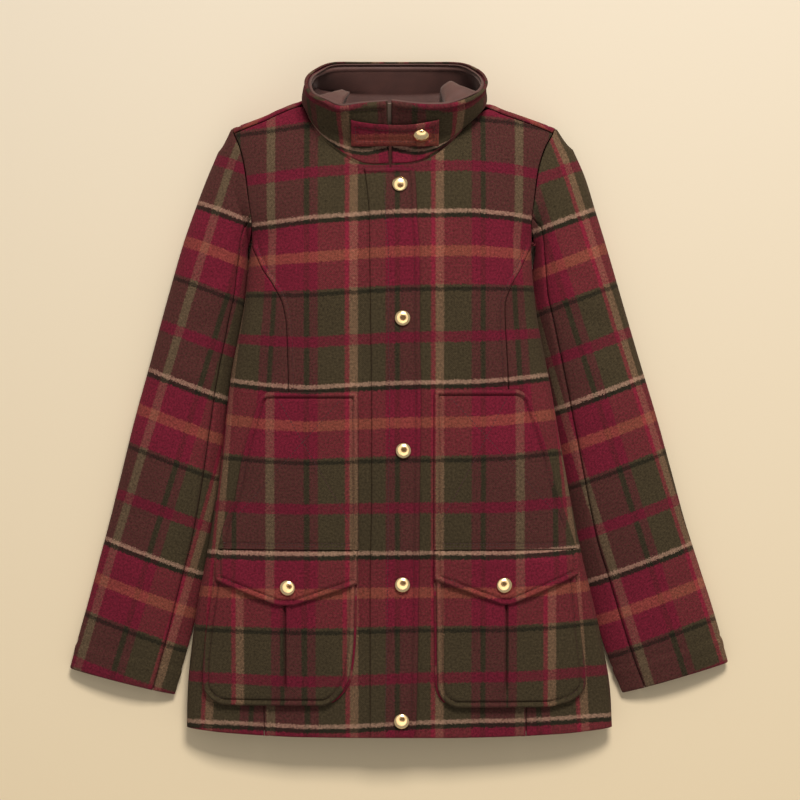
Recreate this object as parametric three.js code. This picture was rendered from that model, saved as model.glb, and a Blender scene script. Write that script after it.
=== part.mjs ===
// Women's wool field coat, fastened and laid on its back, lightly rounded by its own lofty cloth.
// Millimetres. +X is the wearer's left, +Y runs from the hem to the collar, +Z is up from the surface.

import * as THREE from "three";

// Driving sizes
const CLOTH = 2.2;
const BACK_CLOTH = 2.4;
const LINING_CLOTH = 1.4;
const SEAM_GAP = 0.4;
const LAY_GAP = 0.6;
const ARMHOLE_GAP = 0.9;
const LINING_GAP = 0.8;
const HEM_Y = -388;
const HEM_RISE = 9;
const UNDERARM_Y = 183;
const CENTRE_X = -10;
const SNAP_DIAMETER = 17.8;
const SNAP_HEIGHT = 4.6;
const SNAP_SIDES = 16;

// How square the front's cross-section is, and how far the sides tuck under it
const DOME_POWER = 2.5;
const DOME_ROOT = 2.2;

// Cross-sections of the body: its two silhouette edges, its crown and the height of its side seams.
// Above the underarm the edges run on over the sleeve heads, so that the armholes lie on the slope.
const BODY = [
  { y: -388, right: -246, left: 247, crown: 48, side: 19 },
  { y: -348, right: -245, left: 245, crown: 51, side: 21 },
  { y: -267, right: -237, left: 231, crown: 56, side: 25 },
  { y: -177, right: -221, left: 210, crown: 63, side: 29 },
  { y: -73, right: -205, left: 190, crown: 71, side: 33 },
  { y: 24, right: -194, left: 173, crown: 77, side: 35 },
  { y: 112, right: -178, left: 157, crown: 83, side: 35 },
  { y: 168, right: -172, left: 153, crown: 85, side: 34 },
  { y: 183, right: -170, left: 153.5, crown: 85, side: 34 },
  { y: 215, right: -186, left: 170, crown: 84, side: 29 },
  { y: 250, right: -194, left: 179, crown: 81, side: 23 },
  { y: 285, right: -197, left: 184, crown: 77, side: 18 },
  { y: 310, right: -198, left: 187, crown: 70, side: 15 },
  { y: 345, right: -198, left: 187, crown: 58, side: 12 },
];

// Seams of the two fronts: the princess seam up to the underarm, then the armhole up to the shoulder
const FRONT_SEAM = [
  { y: -388, right: -155, left: 146 },
  { y: -351, right: -155, left: 146 },
  { y: -114, right: -127, left: 126 },
  { y: 8, right: -126, left: 125 },
  { y: 78, right: -128, left: 122 },
  { y: 106, right: -132, left: 121 },
  { y: 131, right: -144, left: 129 },
  { y: 152, right: -158, left: 141 },
  { y: 183, right: -170, left: 153.5 },
  { y: 200, right: -169.5, left: 152.5 },
  { y: 232, right: -173, left: 155.5 },
  { y: 264, right: -177, left: 160 },
  { y: 289, right: -183, left: 168 },
  { y: 307, right: -191, left: 178 },
];

// Rows that the pieces of the body share up to the underarm, so that their seams match
const BODY_ROWS = [-388, -348, -296, -244, -192, -140, -88, -36, 16, 62, 96, 124, 146, 166, 183];
const SIDE_FRONT_END = 166;

// Top edge of the fronts: the neckline down to the centre, and the shoulder seam out to its tip
const FRONT_TOP = [
  { x: -191, y: 307 },
  { x: -153, y: 320 },
  { x: -138, y: 327 },
  { x: -110, y: 336 },
  { x: -106, y: 324 },
  { x: -94, y: 304 },
  { x: -81, y: 291 },
  { x: -66, y: 279 },
  { x: -42, y: 267 },
  { x: -10, y: 266.5 },
  { x: 16, y: 268 },
  { x: 35, y: 275 },
  { x: 57, y: 291 },
  { x: 75, y: 311 },
  { x: 91, y: 326 },
  { x: 102, y: 333 },
  { x: 118, y: 327 },
  { x: 139, y: 320 },
  { x: 178, y: 307 },
];

// Back neckline, which drops to the surface behind the neck
const BACK_NECK = [
  { x: -110, y: 339, z: 47 },
  { x: -101, y: 341, z: 30 },
  { x: -85, y: 334, z: 12 },
  { x: -60, y: 327, z: 3 },
  { x: -30, y: 322, z: 0.6 },
  { x: -5, y: 321, z: 0.5 },
  { x: 20, y: 322, z: 0.6 },
  { x: 50, y: 326, z: 3 },
  { x: 77, y: 332, z: 12 },
  { x: 93, y: 338, z: 30 },
  { x: 102, y: 336, z: 46 },
];

// Back armhole edge, by the way travelled from the underarm to the end of the shoulder seam
const BACK_ARMHOLE = [
  { way: 0, right: -170, left: 153.5 },
  { way: 0.15, right: -161, left: 145 },
  { way: 0.4, right: -160, left: 144 },
  { way: 0.6, right: -170, left: 154 },
  { way: 0.74, right: -184, left: 169 },
  { way: 0.88, right: -193, left: 181 },
  { way: 1, right: -191, left: 178 },
];
const SHOULDER_TURN = 0.74;
const SHOULDER_ROUND = 12;
const RIDGE_PROUD = 7;
const NECK_SIDE = { right: -110, left: 102 };
const NECK_SIDE_HEIGHT = 47;
const SHOULDER_ROUND_HEIGHT = 30;
const LEAST_ROUND = 0.1;

// How soon the side seam's height falls away under the arm, as a share of the way to the shoulder
const UNDERARM_FALL = 0.16;
const UNDERARM_FALL_POWER = 1.5;

// Sleeves, ring by ring from just below the armhole to the cuff: the two silhouette points, the height
// of the top, the heights of the outer and inner edges, and how far the ring bows towards the body
const SLEEVE_RIGHT = [
  { ox: -210, oy: 287, ix: -175, iy: 176, top: 48, rimOut: 17, rimIn: 27, bow: 6 },
  { ox: -224, oy: 254, ix: -175.5, iy: 166, top: 50, rimOut: 16, rimIn: 19, bow: 5 },
  { ox: -236, oy: 222, ix: -173, iy: 148, top: 50, rimOut: 16, rimIn: 12, bow: 3 },
  { ox: -249, oy: 185, ix: -173, iy: 115, top: 49, rimOut: 15, rimIn: 9, bow: 1 },
  { ox: -270, oy: 112, ix: -179, iy: 72, top: 47, rimOut: 14, rimIn: 7.5, bow: 0 },
  { ox: -291, oy: 35, ix: -190.5, iy: 5, top: 45, rimOut: 13, rimIn: 7, bow: 0 },
  { ox: -307, oy: -23, ix: -197.5, iy: -55, top: 42, rimOut: 13, rimIn: 7, bow: 0 },
  { ox: -323, oy: -88, ix: -206, iy: -120, top: 39, rimOut: 12, rimIn: 7, bow: 0 },
  { ox: -336, oy: -140, ix: -215.5, iy: -172, top: 36, rimOut: 12, rimIn: 7, bow: 0 },
  { ox: -350, oy: -192, ix: -229, iy: -222, top: 32, rimOut: 11, rimIn: 8, bow: 0 },
  { ox: -361, oy: -233, ix: -239, iy: -262, top: 29, rimOut: 10, rimIn: 8.5, bow: 0 },
  { ox: -372, oy: -272, ix: -250, iy: -303, top: 26, rimOut: 10, rimIn: 9, bow: 0 },
  { ox: -383, oy: -312, ix: -261, iy: -343, top: 23, rimOut: 9, rimIn: 9, bow: 0 },
];
const SLEEVE_LEFT = [
  { ox: 202, oy: 290, ix: 158.5, iy: 176, top: 48, rimOut: 17, rimIn: 27, bow: 6 },
  { ox: 216, oy: 258, ix: 157.5, iy: 165, top: 50, rimOut: 16, rimIn: 19, bow: 5 },
  { ox: 228, oy: 219, ix: 154.5, iy: 146, top: 50, rimOut: 16, rimIn: 12, bow: 3 },
  { ox: 240, oy: 180, ix: 153, iy: 112, top: 49, rimOut: 15, rimIn: 9, bow: 1 },
  { ox: 258, oy: 118, ix: 160, iy: 68, top: 47, rimOut: 14, rimIn: 7.5, bow: 0 },
  { ox: 278, oy: 50, ix: 171.5, iy: 5, top: 45, rimOut: 13, rimIn: 7, bow: 0 },
  { ox: 300, oy: -23, ix: 182.5, iy: -60, top: 42, rimOut: 13, rimIn: 7, bow: 0 },
  { ox: 317, oy: -85, ix: 192.5, iy: -118, top: 39, rimOut: 12, rimIn: 7, bow: 0 },
  { ox: 332, oy: -140, ix: 203, iy: -170, top: 36, rimOut: 12, rimIn: 7, bow: 0 },
  { ox: 347, oy: -187, ix: 218, iy: -218, top: 32, rimOut: 11, rimIn: 8, bow: 0 },
  { ox: 362, oy: -233, ix: 231, iy: -262, top: 29, rimOut: 10, rimIn: 8.5, bow: 0 },
  { ox: 373, oy: -270, ix: 244, iy: -301, top: 26, rimOut: 10, rimIn: 9, bow: 0 },
  { ox: 383, oy: -305, ix: 260, iy: -341, top: 23, rimOut: 9, rimIn: 9, bow: 0 },
];
const SHOULDER_TIP_Y = 307;
const FRONT_SLEEVE_SEAM = 0.8;
const SLEEVE_SEAM_TURN = 0.005;
const BACK_ARMHOLE_GAP = ARMHOLE_GAP * 1.3;
const BACK_ARMHOLE_LEAN = 0.7;

// How square a sleeve's section is at its outer edge, at its inner edge and underneath
const SLEEVE_OUTER_POWER = 0.85;
const SLEEVE_INNER_POWER = 1.6;
const SLEEVE_UNDER_POWER = 0.5;

// Stand collar, station by station from the wearer's right centre front round the neck to the left:
// where it leaves the neckline, the soft fold part of the way up, and the rim
const COLLAR = [
  { on: "front", neckX: -11.5, fold: [-11.5, 287, 79], rim: [-12.6, 332, 121] },
  { on: "front", neckX: -40, fold: [-41, 287, 79], rim: [-41, 330, 120] },
  { on: "front", neckX: -70, fold: [-73, 300, 82], rim: [-67, 327, 118] },
  { on: "front", neckX: -94, fold: [-98, 317, 79], rim: [-82, 334, 112] },
  { on: "front", neckX: -106, fold: [-109, 335, 72], rim: [-99, 344, 101] },
  { on: "back", neckX: -109.5, fold: [-109.5, 349, 60], rim: [-105, 358, 88] },
  { on: "back", neckX: -101, fold: [-105, 358, 42], rim: [-103, 369, 73] },
  { on: "back", neckX: -85, fold: [-98, 362, 22], rim: [-95, 379, 56] },
  { on: "back", neckX: -60, fold: [-75, 360, 9], rim: [-79, 389, 38] },
  { on: "back", neckX: -30, fold: [-36, 357, 5], rim: [-42, 391.5, 26] },
  { on: "back", neckX: -5, fold: [-4, 356, 4], rim: [-3, 392, 22] },
  { on: "back", neckX: 20, fold: [28, 357, 5], rim: [36, 391.5, 26] },
  { on: "back", neckX: 50, fold: [66, 360, 9], rim: [72, 389, 37] },
  { on: "back", neckX: 77, fold: [90, 361, 22], rim: [88, 380, 54] },
  { on: "back", neckX: 93, fold: [97.5, 356, 42], rim: [97, 369, 72] },
  { on: "back", neckX: 101.5, fold: [101.5, 347, 60], rim: [99, 358, 87] },
  { on: "front", neckX: 91, fold: [99, 333, 72], rim: [93, 347, 99] },
  { on: "front", neckX: 75, fold: [85, 320, 78], rim: [80, 338, 109] },
  { on: "front", neckX: 52, fold: [60, 300, 81], rim: [57, 330, 117] },
  { on: "front", neckX: 22, fold: [24, 287, 79], rim: [26, 329, 120] },
  { on: "front", neckX: -8.5, fold: [-8.5, 287, 79], rim: [-8.6, 332.6, 121] },
];
const COLLAR_FOLD_AT = 0.3;
const NECK_GAP = 1.5;
const NECK_MIDDLE_X = -4;
const NECK_TURN_X = 60;
const COLLAR_HOLLOW = new THREE.Vector3(-4, 345, 70);

// Storm placket over the zip: its attaching seam and its free edge
const PLACKET = [
  { y: -387, seam: -33, free: 17 },
  { y: -378, seam: -33, free: 19.5 },
  { y: -353, seam: -33, free: 20.5 },
  { y: -212, seam: -33, free: 23 },
  { y: -100, seam: -31, free: 24 },
  { y: 0, seam: -31, free: 25.5 },
  { y: 77, seam: -32, free: 24 },
  { y: 163, seam: -33, free: 24 },
  { y: 207, seam: -33.5, free: 21 },
  { y: 255, seam: -38, free: 18.5 },
  { y: 263, seam: -39.5, free: 16 },
];
const PLACKET_CLOTH = 3;

// Collar tab, seen along the collar's slope
const TAB = { right: -54, left: 45, low: 289.5, high: 316, sag: 5, lift: 1.6, cloth: 3.2 };

// Patch pockets, each from the outer edge (towards the side seam) to the inner edge (towards the zip)
const POCKETS = {
  right: {
    upper: [
      { y: -170.5, outer: -207, inner: -45.5 },
      { y: -148, outer: -202, inner: -45.5 },
      { y: -126, outer: -194, inner: -45.5 },
      { y: -112, outer: -188, inner: -45.5 },
      { y: -66, outer: -179, inner: -46 },
      { y: -17, outer: -165, inner: -46 },
      { y: 1, outer: -159, inner: -46 },
      { y: 6, outer: -155, inner: -46.5 },
      { y: 9, outer: -150, inner: -48 },
    ],
    flap: {
      outer: -208, outerDrop: -207, pointFrom: -137,
      inner: -47, innerDrop: -209, pointTo: -118,
      point: -234,
    },
    lower: [
      { y: -350, outer: -203, inner: -84 },
      { y: -343, outer: -216, inner: -73 },
      { y: -330, outer: -224, inner: -62 },
      { y: -316, outer: -224.5, inner: -56 },
      { y: -268, outer: -220.5, inner: -51 },
      { y: -220, outer: -213, inner: -50 },
      { y: -187, outer: -207, inner: -49.5 },
    ],
    pleatX: -130,
    snap: { x: -126, y: -213 },
  },
  left: {
    upper: [
      { y: -170.5, outer: 203, inner: 39 },
      { y: -148, outer: 196, inner: 39 },
      { y: -124, outer: 188, inner: 39 },
      { y: -101, outer: 180, inner: 39 },
      { y: -58, outer: 169, inner: 39 },
      { y: -13, outer: 154, inner: 39 },
      { y: 1, outer: 149, inner: 39 },
      { y: 8, outer: 143, inner: 39.5 },
      { y: 12, outer: 135, inner: 41 },
    ],
    flap: {
      outer: 203, outerDrop: -201, pointFrom: 127,
      inner: 39.5, innerDrop: -204, pointTo: 116,
      point: -233,
    },
    lower: [
      { y: -352, outer: 172, inner: 64 },
      { y: -346, outer: 196, inner: 53 },
      { y: -336, outer: 209, inner: 46 },
      { y: -325, outer: 214, inner: 43.5 },
      { y: -267, outer: 208, inner: 42.5 },
      { y: -220, outer: 203, inner: 42 },
      { y: -187, outer: 199, inner: 41.5 },
    ],
    pleatX: 122,
    snap: { x: 119, y: -210 },
  },
};
const FLAP_TOP_Y = -171.2;
const FLAP_RAMP = 13;
const GUSSET_CLOTH = 1.8;
const GUSSET_PROUD = 2.2;
const GUSSET_WIDTH = 5;
const LOWER_LIFT = LAY_GAP + GUSSET_CLOTH + LAY_GAP;
const FLAP_LIFT = LOWER_LIFT + CLOTH + LAY_GAP;
const POCKET_PUFF = 2.6;
const PUFF_POWER = 0.7;
const PUFF_LOW = 0.12;
const PUFF_HIGH = 0.75;
const PLEAT_DEPTH = 2.4;
const PLEAT_HALF_WIDTH = 3;
const PLEAT_CLOSE = 22;
const GUSSET_TOP_Y = -200;

// Snap caps down the placket and on the tab
const PLACKET_SNAPS = [
  { x: 1, y: 244 },
  { x: 4, y: 93 },
  { x: 5, y: -57 },
  { x: 4, y: -210 },
  { x: 3, y: -367 },
];
const TAB_SNAP = { x: 25, y: 301 };

// The end of the zip's tape
const TAPE_HALF_WIDTH = 4.5;
const TAPE_CLOTH = 1.2;
const TAPE_ASIDE = 0.6;

// Finishes
const PLAID = { color: 0x5a2a30, roughness: 0.95, metalness: 0 };
const LINING = { color: 0x4a2c2a, roughness: 0.85, metalness: 0 };
const TAPE = { color: 0x6b5a4e, roughness: 0.8, metalness: 0 };
const GOLD = { color: 0xe8c98a, roughness: 0.25, metalness: 1 };

const coat = new THREE.Group();
const { lerp, clamp } = THREE.MathUtils;

function steps(from, to, count) {
  return Array.from({ length: count + 1 }, (_, i) => lerp(from, to, i / count));
}

// Smooth reading of a table's column, without overshoot between its rows
function column(table, key, value) {
  const at = table.map((row) => row[key]);
  const to = table.map((row) => row[value]);
  const grade = at.slice(1).map((end, i) => (to[i + 1] - to[i]) / (end - at[i]));
  const tilt = at.map((_, i) => {
    if (i === 0) return grade[0];
    if (i === at.length - 1) return grade[i - 1];
    if (grade[i - 1] * grade[i] <= 0) return 0;
    return (2 * grade[i - 1] * grade[i]) / (grade[i - 1] + grade[i]);
  });
  return (where) => {
    const x = clamp(where, at[0], at[at.length - 1]);
    let i = 0;
    while (i < at.length - 2 && x > at[i + 1]) i += 1;
    const span = at[i + 1] - at[i];
    const t = (x - at[i]) / span;
    const smooth = t * t * (3 - 2 * t);
    const bendOne = t * (1 - t) * (1 - t) * span * tilt[i];
    const bendTwo = t * t * (t - 1) * span * tilt[i + 1];
    return lerp(to[i], to[i + 1], smooth) + bendOne + bendTwo;
  };
}

const rightEdge = column(BODY, "y", "right");
const leftEdge = column(BODY, "y", "left");
const crownHeight = column(BODY, "y", "crown");
const sideHeight = column(BODY, "y", "side");
const frontTop = column(FRONT_TOP, "x", "y");
const backNeckY = column(BACK_NECK, "x", "y");
const backNeckZ = column(BACK_NECK, "x", "z");

function hemY(x) {
  return HEM_Y + HEM_RISE * Math.abs(x / leftEdge(HEM_Y)) ** 3;
}

// A row of the body, which eases from the hem's curve to level at the underarm
function bodyRow(x, rowY) {
  return lerp(hemY(x), UNDERARM_Y, (rowY - HEM_Y) / (UNDERARM_Y - HEM_Y));
}

// The body's front, as a height over the surface that the coat lies on
function frontHeight(x, y) {
  const middle = (rightEdge(y) + leftEdge(y)) / 2;
  const half = (leftEdge(y) - rightEdge(y)) / 2;
  const across = Math.min(Math.abs((x - middle) / half), 1);
  const dome = (1 - across ** DOME_POWER) ** (1 / DOME_ROOT);
  return lerp(sideHeight(y), crownHeight(y), dome);
}

function frontNormal(x, y) {
  const middle = (rightEdge(y) + leftEdge(y)) / 2;
  const half = (leftEdge(y) - rightEdge(y)) / 2;
  const across = clamp((x - middle) / half, -0.9995, 0.9995);
  const inside = middle + across * half;
  const step = 0.02;
  const slopeX = (frontHeight(inside + step, y) - frontHeight(inside - step, y)) / (2 * step);
  const slopeY = (frontHeight(inside, y + 1) - frontHeight(inside, y - 1)) / 2;
  return new THREE.Vector3(-slopeX, -slopeY, 1).normalize();
}

function onFront(x, y, lift = 0) {
  const point = new THREE.Vector3(x, y, frontHeight(x, y));
  return point.addScaledVector(frontNormal(x, y), lift);
}

// A closed wall between two surfaces that share one grid
function wallGeometry(outer, inner, us, vs) {
  const positions = [];
  for (const surface of [outer, inner]) {
    for (const v of vs) {
      for (const u of us) positions.push(...surface(u, v).toArray());
    }
  }
  const wide = us.length;
  const high = vs.length;
  const at = (layer, i, j) => layer * wide * high + j * wide + i;
  const faces = [];
  const quad = (a, b, c, d) => faces.push(a, b, c, a, c, d);
  for (let j = 0; j < high - 1; j += 1) {
    for (let i = 0; i < wide - 1; i += 1) {
      quad(at(0, i, j), at(0, i + 1, j), at(0, i + 1, j + 1), at(0, i, j + 1));
      quad(at(1, i, j), at(1, i, j + 1), at(1, i + 1, j + 1), at(1, i + 1, j));
    }
    quad(at(0, 0, j), at(0, 0, j + 1), at(1, 0, j + 1), at(1, 0, j));
    quad(at(0, wide - 1, j), at(1, wide - 1, j), at(1, wide - 1, j + 1), at(0, wide - 1, j + 1));
  }
  for (let i = 0; i < wide - 1; i += 1) {
    quad(at(0, i, 0), at(1, i, 0), at(1, i + 1, 0), at(0, i + 1, 0));
    quad(at(0, i, high - 1), at(0, i + 1, high - 1), at(1, i + 1, high - 1), at(1, i, high - 1));
  }
  if (signedVolume(positions, faces) < 0) {
    for (let f = 0; f < faces.length; f += 3) [faces[f], faces[f + 1]] = [faces[f + 1], faces[f]];
  }
  const geometry = new THREE.BufferGeometry();
  geometry.setAttribute("position", new THREE.Float32BufferAttribute(positions, 3));
  geometry.setIndex(faces);
  geometry.computeVertexNormals();
  return geometry;
}

function signedVolume(positions, faces) {
  const corner = (f) => new THREE.Vector3().fromArray(positions, faces[f] * 3);
  let volume = 0;
  for (let f = 0; f < faces.length; f += 3) {
    volume += corner(f).dot(corner(f + 1).cross(corner(f + 2)));
  }
  return volume;
}

function addPiece(name, geometry, finish) {
  const mesh = new THREE.Mesh(geometry, new THREE.MeshStandardMaterial(finish));
  mesh.name = name;
  coat.add(mesh);
}

// Centre fronts, from the zip to the princess seam, armhole, shoulder seam and neckline
function centreFront(side) {
  const seam = column(FRONT_SEAM, "y", side);
  const outward = side === "left" ? 1 : -1;
  const zipX = CENTRE_X + outward * SEAM_GAP;
  const topSeamX = seam(FRONT_SEAM[FRONT_SEAM.length - 1].y);
  const neckShare = (NECK_SIDE[side] - zipX) / (topSeamX - zipX);
  const place = (u, rowY) => {
    const x = lerp(zipX, seam(rowY) - outward * SEAM_GAP * 0.5, u);
    if (rowY <= UNDERARM_Y) return { x, y: bodyRow(x, rowY) };
    const chest = (rowY - UNDERARM_Y) / (SHOULDER_TIP_Y - UNDERARM_Y);
    return { x, y: lerp(UNDERARM_Y, frontTop(lerp(zipX, topSeamX, u)), chest) };
  };
  const us = [...steps(0, neckShare, 7), ...steps(neckShare, 1, 4).slice(1)];
  const vs = [...BODY_ROWS, ...steps(UNDERARM_Y, SHOULDER_TIP_Y, 8).slice(1)];
  const outer = (u, v) => onFront(place(u, v).x, place(u, v).y);
  const inner = (u, v) => onFront(place(u, v).x, place(u, v).y, -CLOTH);
  addPiece(`front_${side}`, wallGeometry(outer, inner, us, vs), PLAID);
}

// Side fronts, from the princess seam round to the side seam
function sideFront(side) {
  const seam = column(FRONT_SEAM, "y", side);
  const edge = column(BODY, "y", side);
  const outward = side === "left" ? 1 : -1;
  const place = (u, rowY) => {
    const from = seam(rowY) + outward * SEAM_GAP * 0.5;
    const x = lerp(from, edge(rowY), Math.sin((u * Math.PI) / 2));
    return { x, y: bodyRow(x, rowY) };
  };
  const vs = BODY_ROWS.filter((rowY) => rowY <= SIDE_FRONT_END);
  const outer = (u, v) => onFront(place(u, v).x, place(u, v).y);
  const inner = (u, v) => onFront(place(u, v).x, place(u, v).y, -CLOTH);
  addPiece(`side_front_${side}`, wallGeometry(outer, inner, steps(0, 1, 6), vs), PLAID);
}

// The back panel: two rolled sides, a flat middle, and the top turned over the shoulders
const BACK_ROLL = [0, 0.004, 0.016, 0.04, 0.083];
const BACK_FLAT = [0.15, 0.2186, 0.31, 0.41, 0.51, 0.61, 0.71, 0.798, 0.86];

function backRoll(share) {
  const fromSide = Math.min(share, 1 - share) / BACK_ROLL[BACK_ROLL.length - 1];
  const lean = clamp(1 - fromSide, 0, 1);
  return 1 - Math.sqrt(Math.max(1 - lean * lean, 0));
}

function backPoint(share, way, y, inset) {
  const roll = backRoll(share);
  if (way <= 0) {
    const x0 = rightEdge(y) + inset;
    const x1 = leftEdge(y) - inset;
    const z = lerp(inset, sideHeight(y) - SEAM_GAP * 1.5, roll);
    return new THREE.Vector3(lerp(x0, x1, share), y, z);
  }
  const right = column(BACK_ARMHOLE, "way", "right")(way) + inset;
  const left = column(BACK_ARMHOLE, "way", "left")(way) - inset;
  return shoulderPoint(share, way, right, left, roll, inset);
}

// Above the underarm each column runs flat up the back, then over the shoulder or up to the neckline
function shoulderPoint(share, way, right, left, roll, inset) {
  const x = lerp(right, left, share);
  const seamRight = BACK_ARMHOLE[BACK_ARMHOLE.length - 1].right;
  const seamLeft = BACK_ARMHOLE[BACK_ARMHOLE.length - 1].left;
  const seamX = lerp(seamRight, seamLeft, share);
  const neck = seamX > NECK_SIDE.right - SEAM_GAP && seamX < NECK_SIDE.left + SEAM_GAP;
  const endY = neck ? backNeckY(seamX) : frontTop(seamX) + SEAM_GAP * 1.5;
  const endZ = neck ? backNeckZ(seamX) : frontHeight(seamX, frontTop(seamX));
  const proud = neck ? RIDGE_PROUD * clamp(endZ / NECK_SIDE_HEIGHT, 0, 1) : RIDGE_PROUD;
  const round = SHOULDER_ROUND * clamp(endZ / SHOULDER_ROUND_HEIGHT, LEAST_ROUND, 1);
  const turnY = endY + proud - round;
  const fall = clamp(1 - way / UNDERARM_FALL, 0, 1) ** UNDERARM_FALL_POWER;
  const sideZ = roll * fall * (sideHeight(UNDERARM_Y) - SEAM_GAP * 1.5);
  if (way < SHOULDER_TURN) {
    return new THREE.Vector3(x, lerp(UNDERARM_Y, turnY, way / SHOULDER_TURN), Math.max(inset, sideZ));
  }
  const turn = (way - SHOULDER_TURN) / (1 - SHOULDER_TURN);
  const ridgeZ = endZ * 0.5;
  const lower = turn < 0.5;
  const angle = lower ? turn * Math.PI : (turn - 0.5) * Math.PI;
  const shrink = inset * Math.min(1, endZ / 10);
  const y = lower
    ? lerp(turnY, endY + proud - shrink, Math.sin(angle))
    : lerp(endY + proud - shrink, endY, 1 - Math.cos(angle));
  const z = lower
    ? lerp(inset, ridgeZ, 1 - Math.cos(angle))
    : lerp(ridgeZ, endZ - shrink, Math.sin(angle));
  return new THREE.Vector3(x, y, Math.max(z, inset));
}

function backPanel() {
  const mirrored = BACK_ROLL.map((share) => 1 - share).reverse();
  const us = [...BACK_ROLL, ...BACK_FLAT, ...mirrored];
  const rows = BODY_ROWS.filter((rowY, i) => i % 2 === 0 || rowY > 0).map((rowY) => ({ rowY, way: 0 }));
  const ways = [...steps(0, SHOULDER_TURN, 6).slice(1), ...steps(SHOULDER_TURN, 1, 6).slice(1)];
  const vs = [...rows, ...ways.map((way) => ({ rowY: UNDERARM_Y, way }))];
  const place = (u, { rowY, way }, inset) => {
    const x = lerp(rightEdge(rowY), leftEdge(rowY), u);
    return backPoint(u, way, bodyRow(x, rowY), inset);
  };
  const outer = (u, v) => place(u, v, 0);
  const inner = (u, v) => place(u, v, BACK_CLOTH);
  addPiece("back", wallGeometry(outer, inner, us, vs), PLAID);
}

// Sleeves: rings that fan out from the armhole to the cuff
function armholePoint(side, turn, inset) {
  const outward = side === "left" ? 1 : -1;
  const seam = column(FRONT_SEAM, "y", side);
  const along = (1 - Math.cos(turn)) / 2;
  if (turn >= 0 && turn <= Math.PI) {
    const y = lerp(SHOULDER_TIP_Y, UNDERARM_Y, along);
    const point = onFront(seam(y), y, -inset);
    point.x += outward * ARMHOLE_GAP;
    return point;
  }
  const way = 1 - (turn < 0 ? -turn : 2 * Math.PI - turn) / Math.PI;
  const point = backPoint(side === "left" ? 1 : 0, Math.max(way, 0.0001), UNDERARM_Y, 0);
  point.x += outward * BACK_ARMHOLE_GAP;
  point.z = Math.max(point.z, inset);
  if (way > SHOULDER_TURN) point.y -= inset * BACK_ARMHOLE_LEAN;
  return point;
}

function sleeveReader(table) {
  const rows = table.map((row, i) => ({ ...row, ring: i + 1 }));
  const keys = ["ox", "oy", "ix", "iy", "top", "rimOut", "rimIn", "bow"];
  const readers = keys.map((key) => [key, column(rows, "ring", key)]);
  return (ring) => Object.fromEntries(readers.map(([key, reader]) => [key, reader(ring)]));
}

function sleevePoint(row, outward, turn, inset) {
  const across = (1 - Math.cos(turn)) / 2;
  const width = Math.hypot(row.ix - row.ox, row.iy - row.oy);
  const trim = inset / width;
  const along = lerp(trim, 1 - trim, across);
  const lift = Math.sin(turn);
  const rim = lerp(row.rimOut, row.rimIn, across);
  const sharp = lerp(SLEEVE_OUTER_POWER, SLEEVE_INNER_POWER, across);
  const z = lift >= 0
    ? lerp(rim, row.top - inset, lift ** sharp)
    : lerp(rim, inset, (-lift) ** SLEEVE_UNDER_POWER);
  const bow = -outward * row.bow * Math.max(lift, 0);
  return new THREE.Vector3(lerp(row.ox, row.ix, along) + bow, lerp(row.oy, row.iy, along), z);
}

function sleeve(side, table) {
  const outward = side === "left" ? 1 : -1;
  const ringAt = sleeveReader(table);
  const seamTurn = Math.acos(1 - 2 * FRONT_SLEEVE_SEAM);
  const place = (turn, ring, inset) => {
    if (ring < 0.5) return armholePoint(side, turn, inset);
    return sleevePoint(ringAt(ring), outward, turn, inset);
  };
  const rings = [0, 1, 2, 3, ...steps(4, table.length, 9)];
  const pieces = [
    { part: "upper", from: -seamTurn, to: seamTurn, count: 16 },
    { part: "under", from: seamTurn, to: 2 * Math.PI - seamTurn, count: 8 },
  ];
  for (const { part, from, to, count } of pieces) {
    const us = steps(from + SLEEVE_SEAM_TURN, to - SLEEVE_SEAM_TURN, count);
    const outer = (u, v) => place(u, v, 0);
    const inner = (u, v) => place(u, v, CLOTH);
    addPiece(`sleeve_${part}_${side}`, wallGeometry(outer, inner, us, rings), PLAID);
  }
}

// Collar: a loft from the neckline through a soft fold to the rim
function collarNeck(row) {
  const x = row.neckX;
  const y = row.on === "back" ? backNeckY(x) : frontTop(x);
  const z = row.on === "back" ? backNeckZ(x) : frontHeight(x, y);
  const aside = clamp((NECK_MIDDLE_X - x) / NECK_TURN_X, -1, 1);
  return new THREE.Vector3(x + aside * NECK_GAP, y + NECK_GAP, z + SEAM_GAP);
}

const collarRing = (point) => new THREE.CatmullRomCurve3(COLLAR.map(point), false, "centripetal");
const collarRings = {
  neck: collarRing(collarNeck),
  fold: collarRing((row) => new THREE.Vector3(...row.fold)),
  rim: collarRing((row) => new THREE.Vector3(...row.rim)),
};

function collarPoint(round, up) {
  const low = up < COLLAR_FOLD_AT;
  const from = (low ? collarRings.neck : collarRings.fold).getPoint(round);
  const to = (low ? collarRings.fold : collarRings.rim).getPoint(round);
  const share = low ? up / COLLAR_FOLD_AT : (up - COLLAR_FOLD_AT) / (1 - COLLAR_FOLD_AT);
  return from.lerp(to, share);
}

function collarInside(round, up, depth) {
  const step = 0.004;
  const near = (r, h) => collarPoint(clamp(r, 0, 1), clamp(h, 0, 1));
  const along = near(round + step, up).sub(near(round - step, up));
  const rise = near(round, up + 0.1).sub(near(round, up - 0.1));
  const inward = along.cross(rise).normalize();
  const point = collarPoint(round, up);
  if (inward.dot(COLLAR_HOLLOW.clone().sub(point)) < 0) inward.negate();
  return point.addScaledVector(inward, depth);
}

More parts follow.
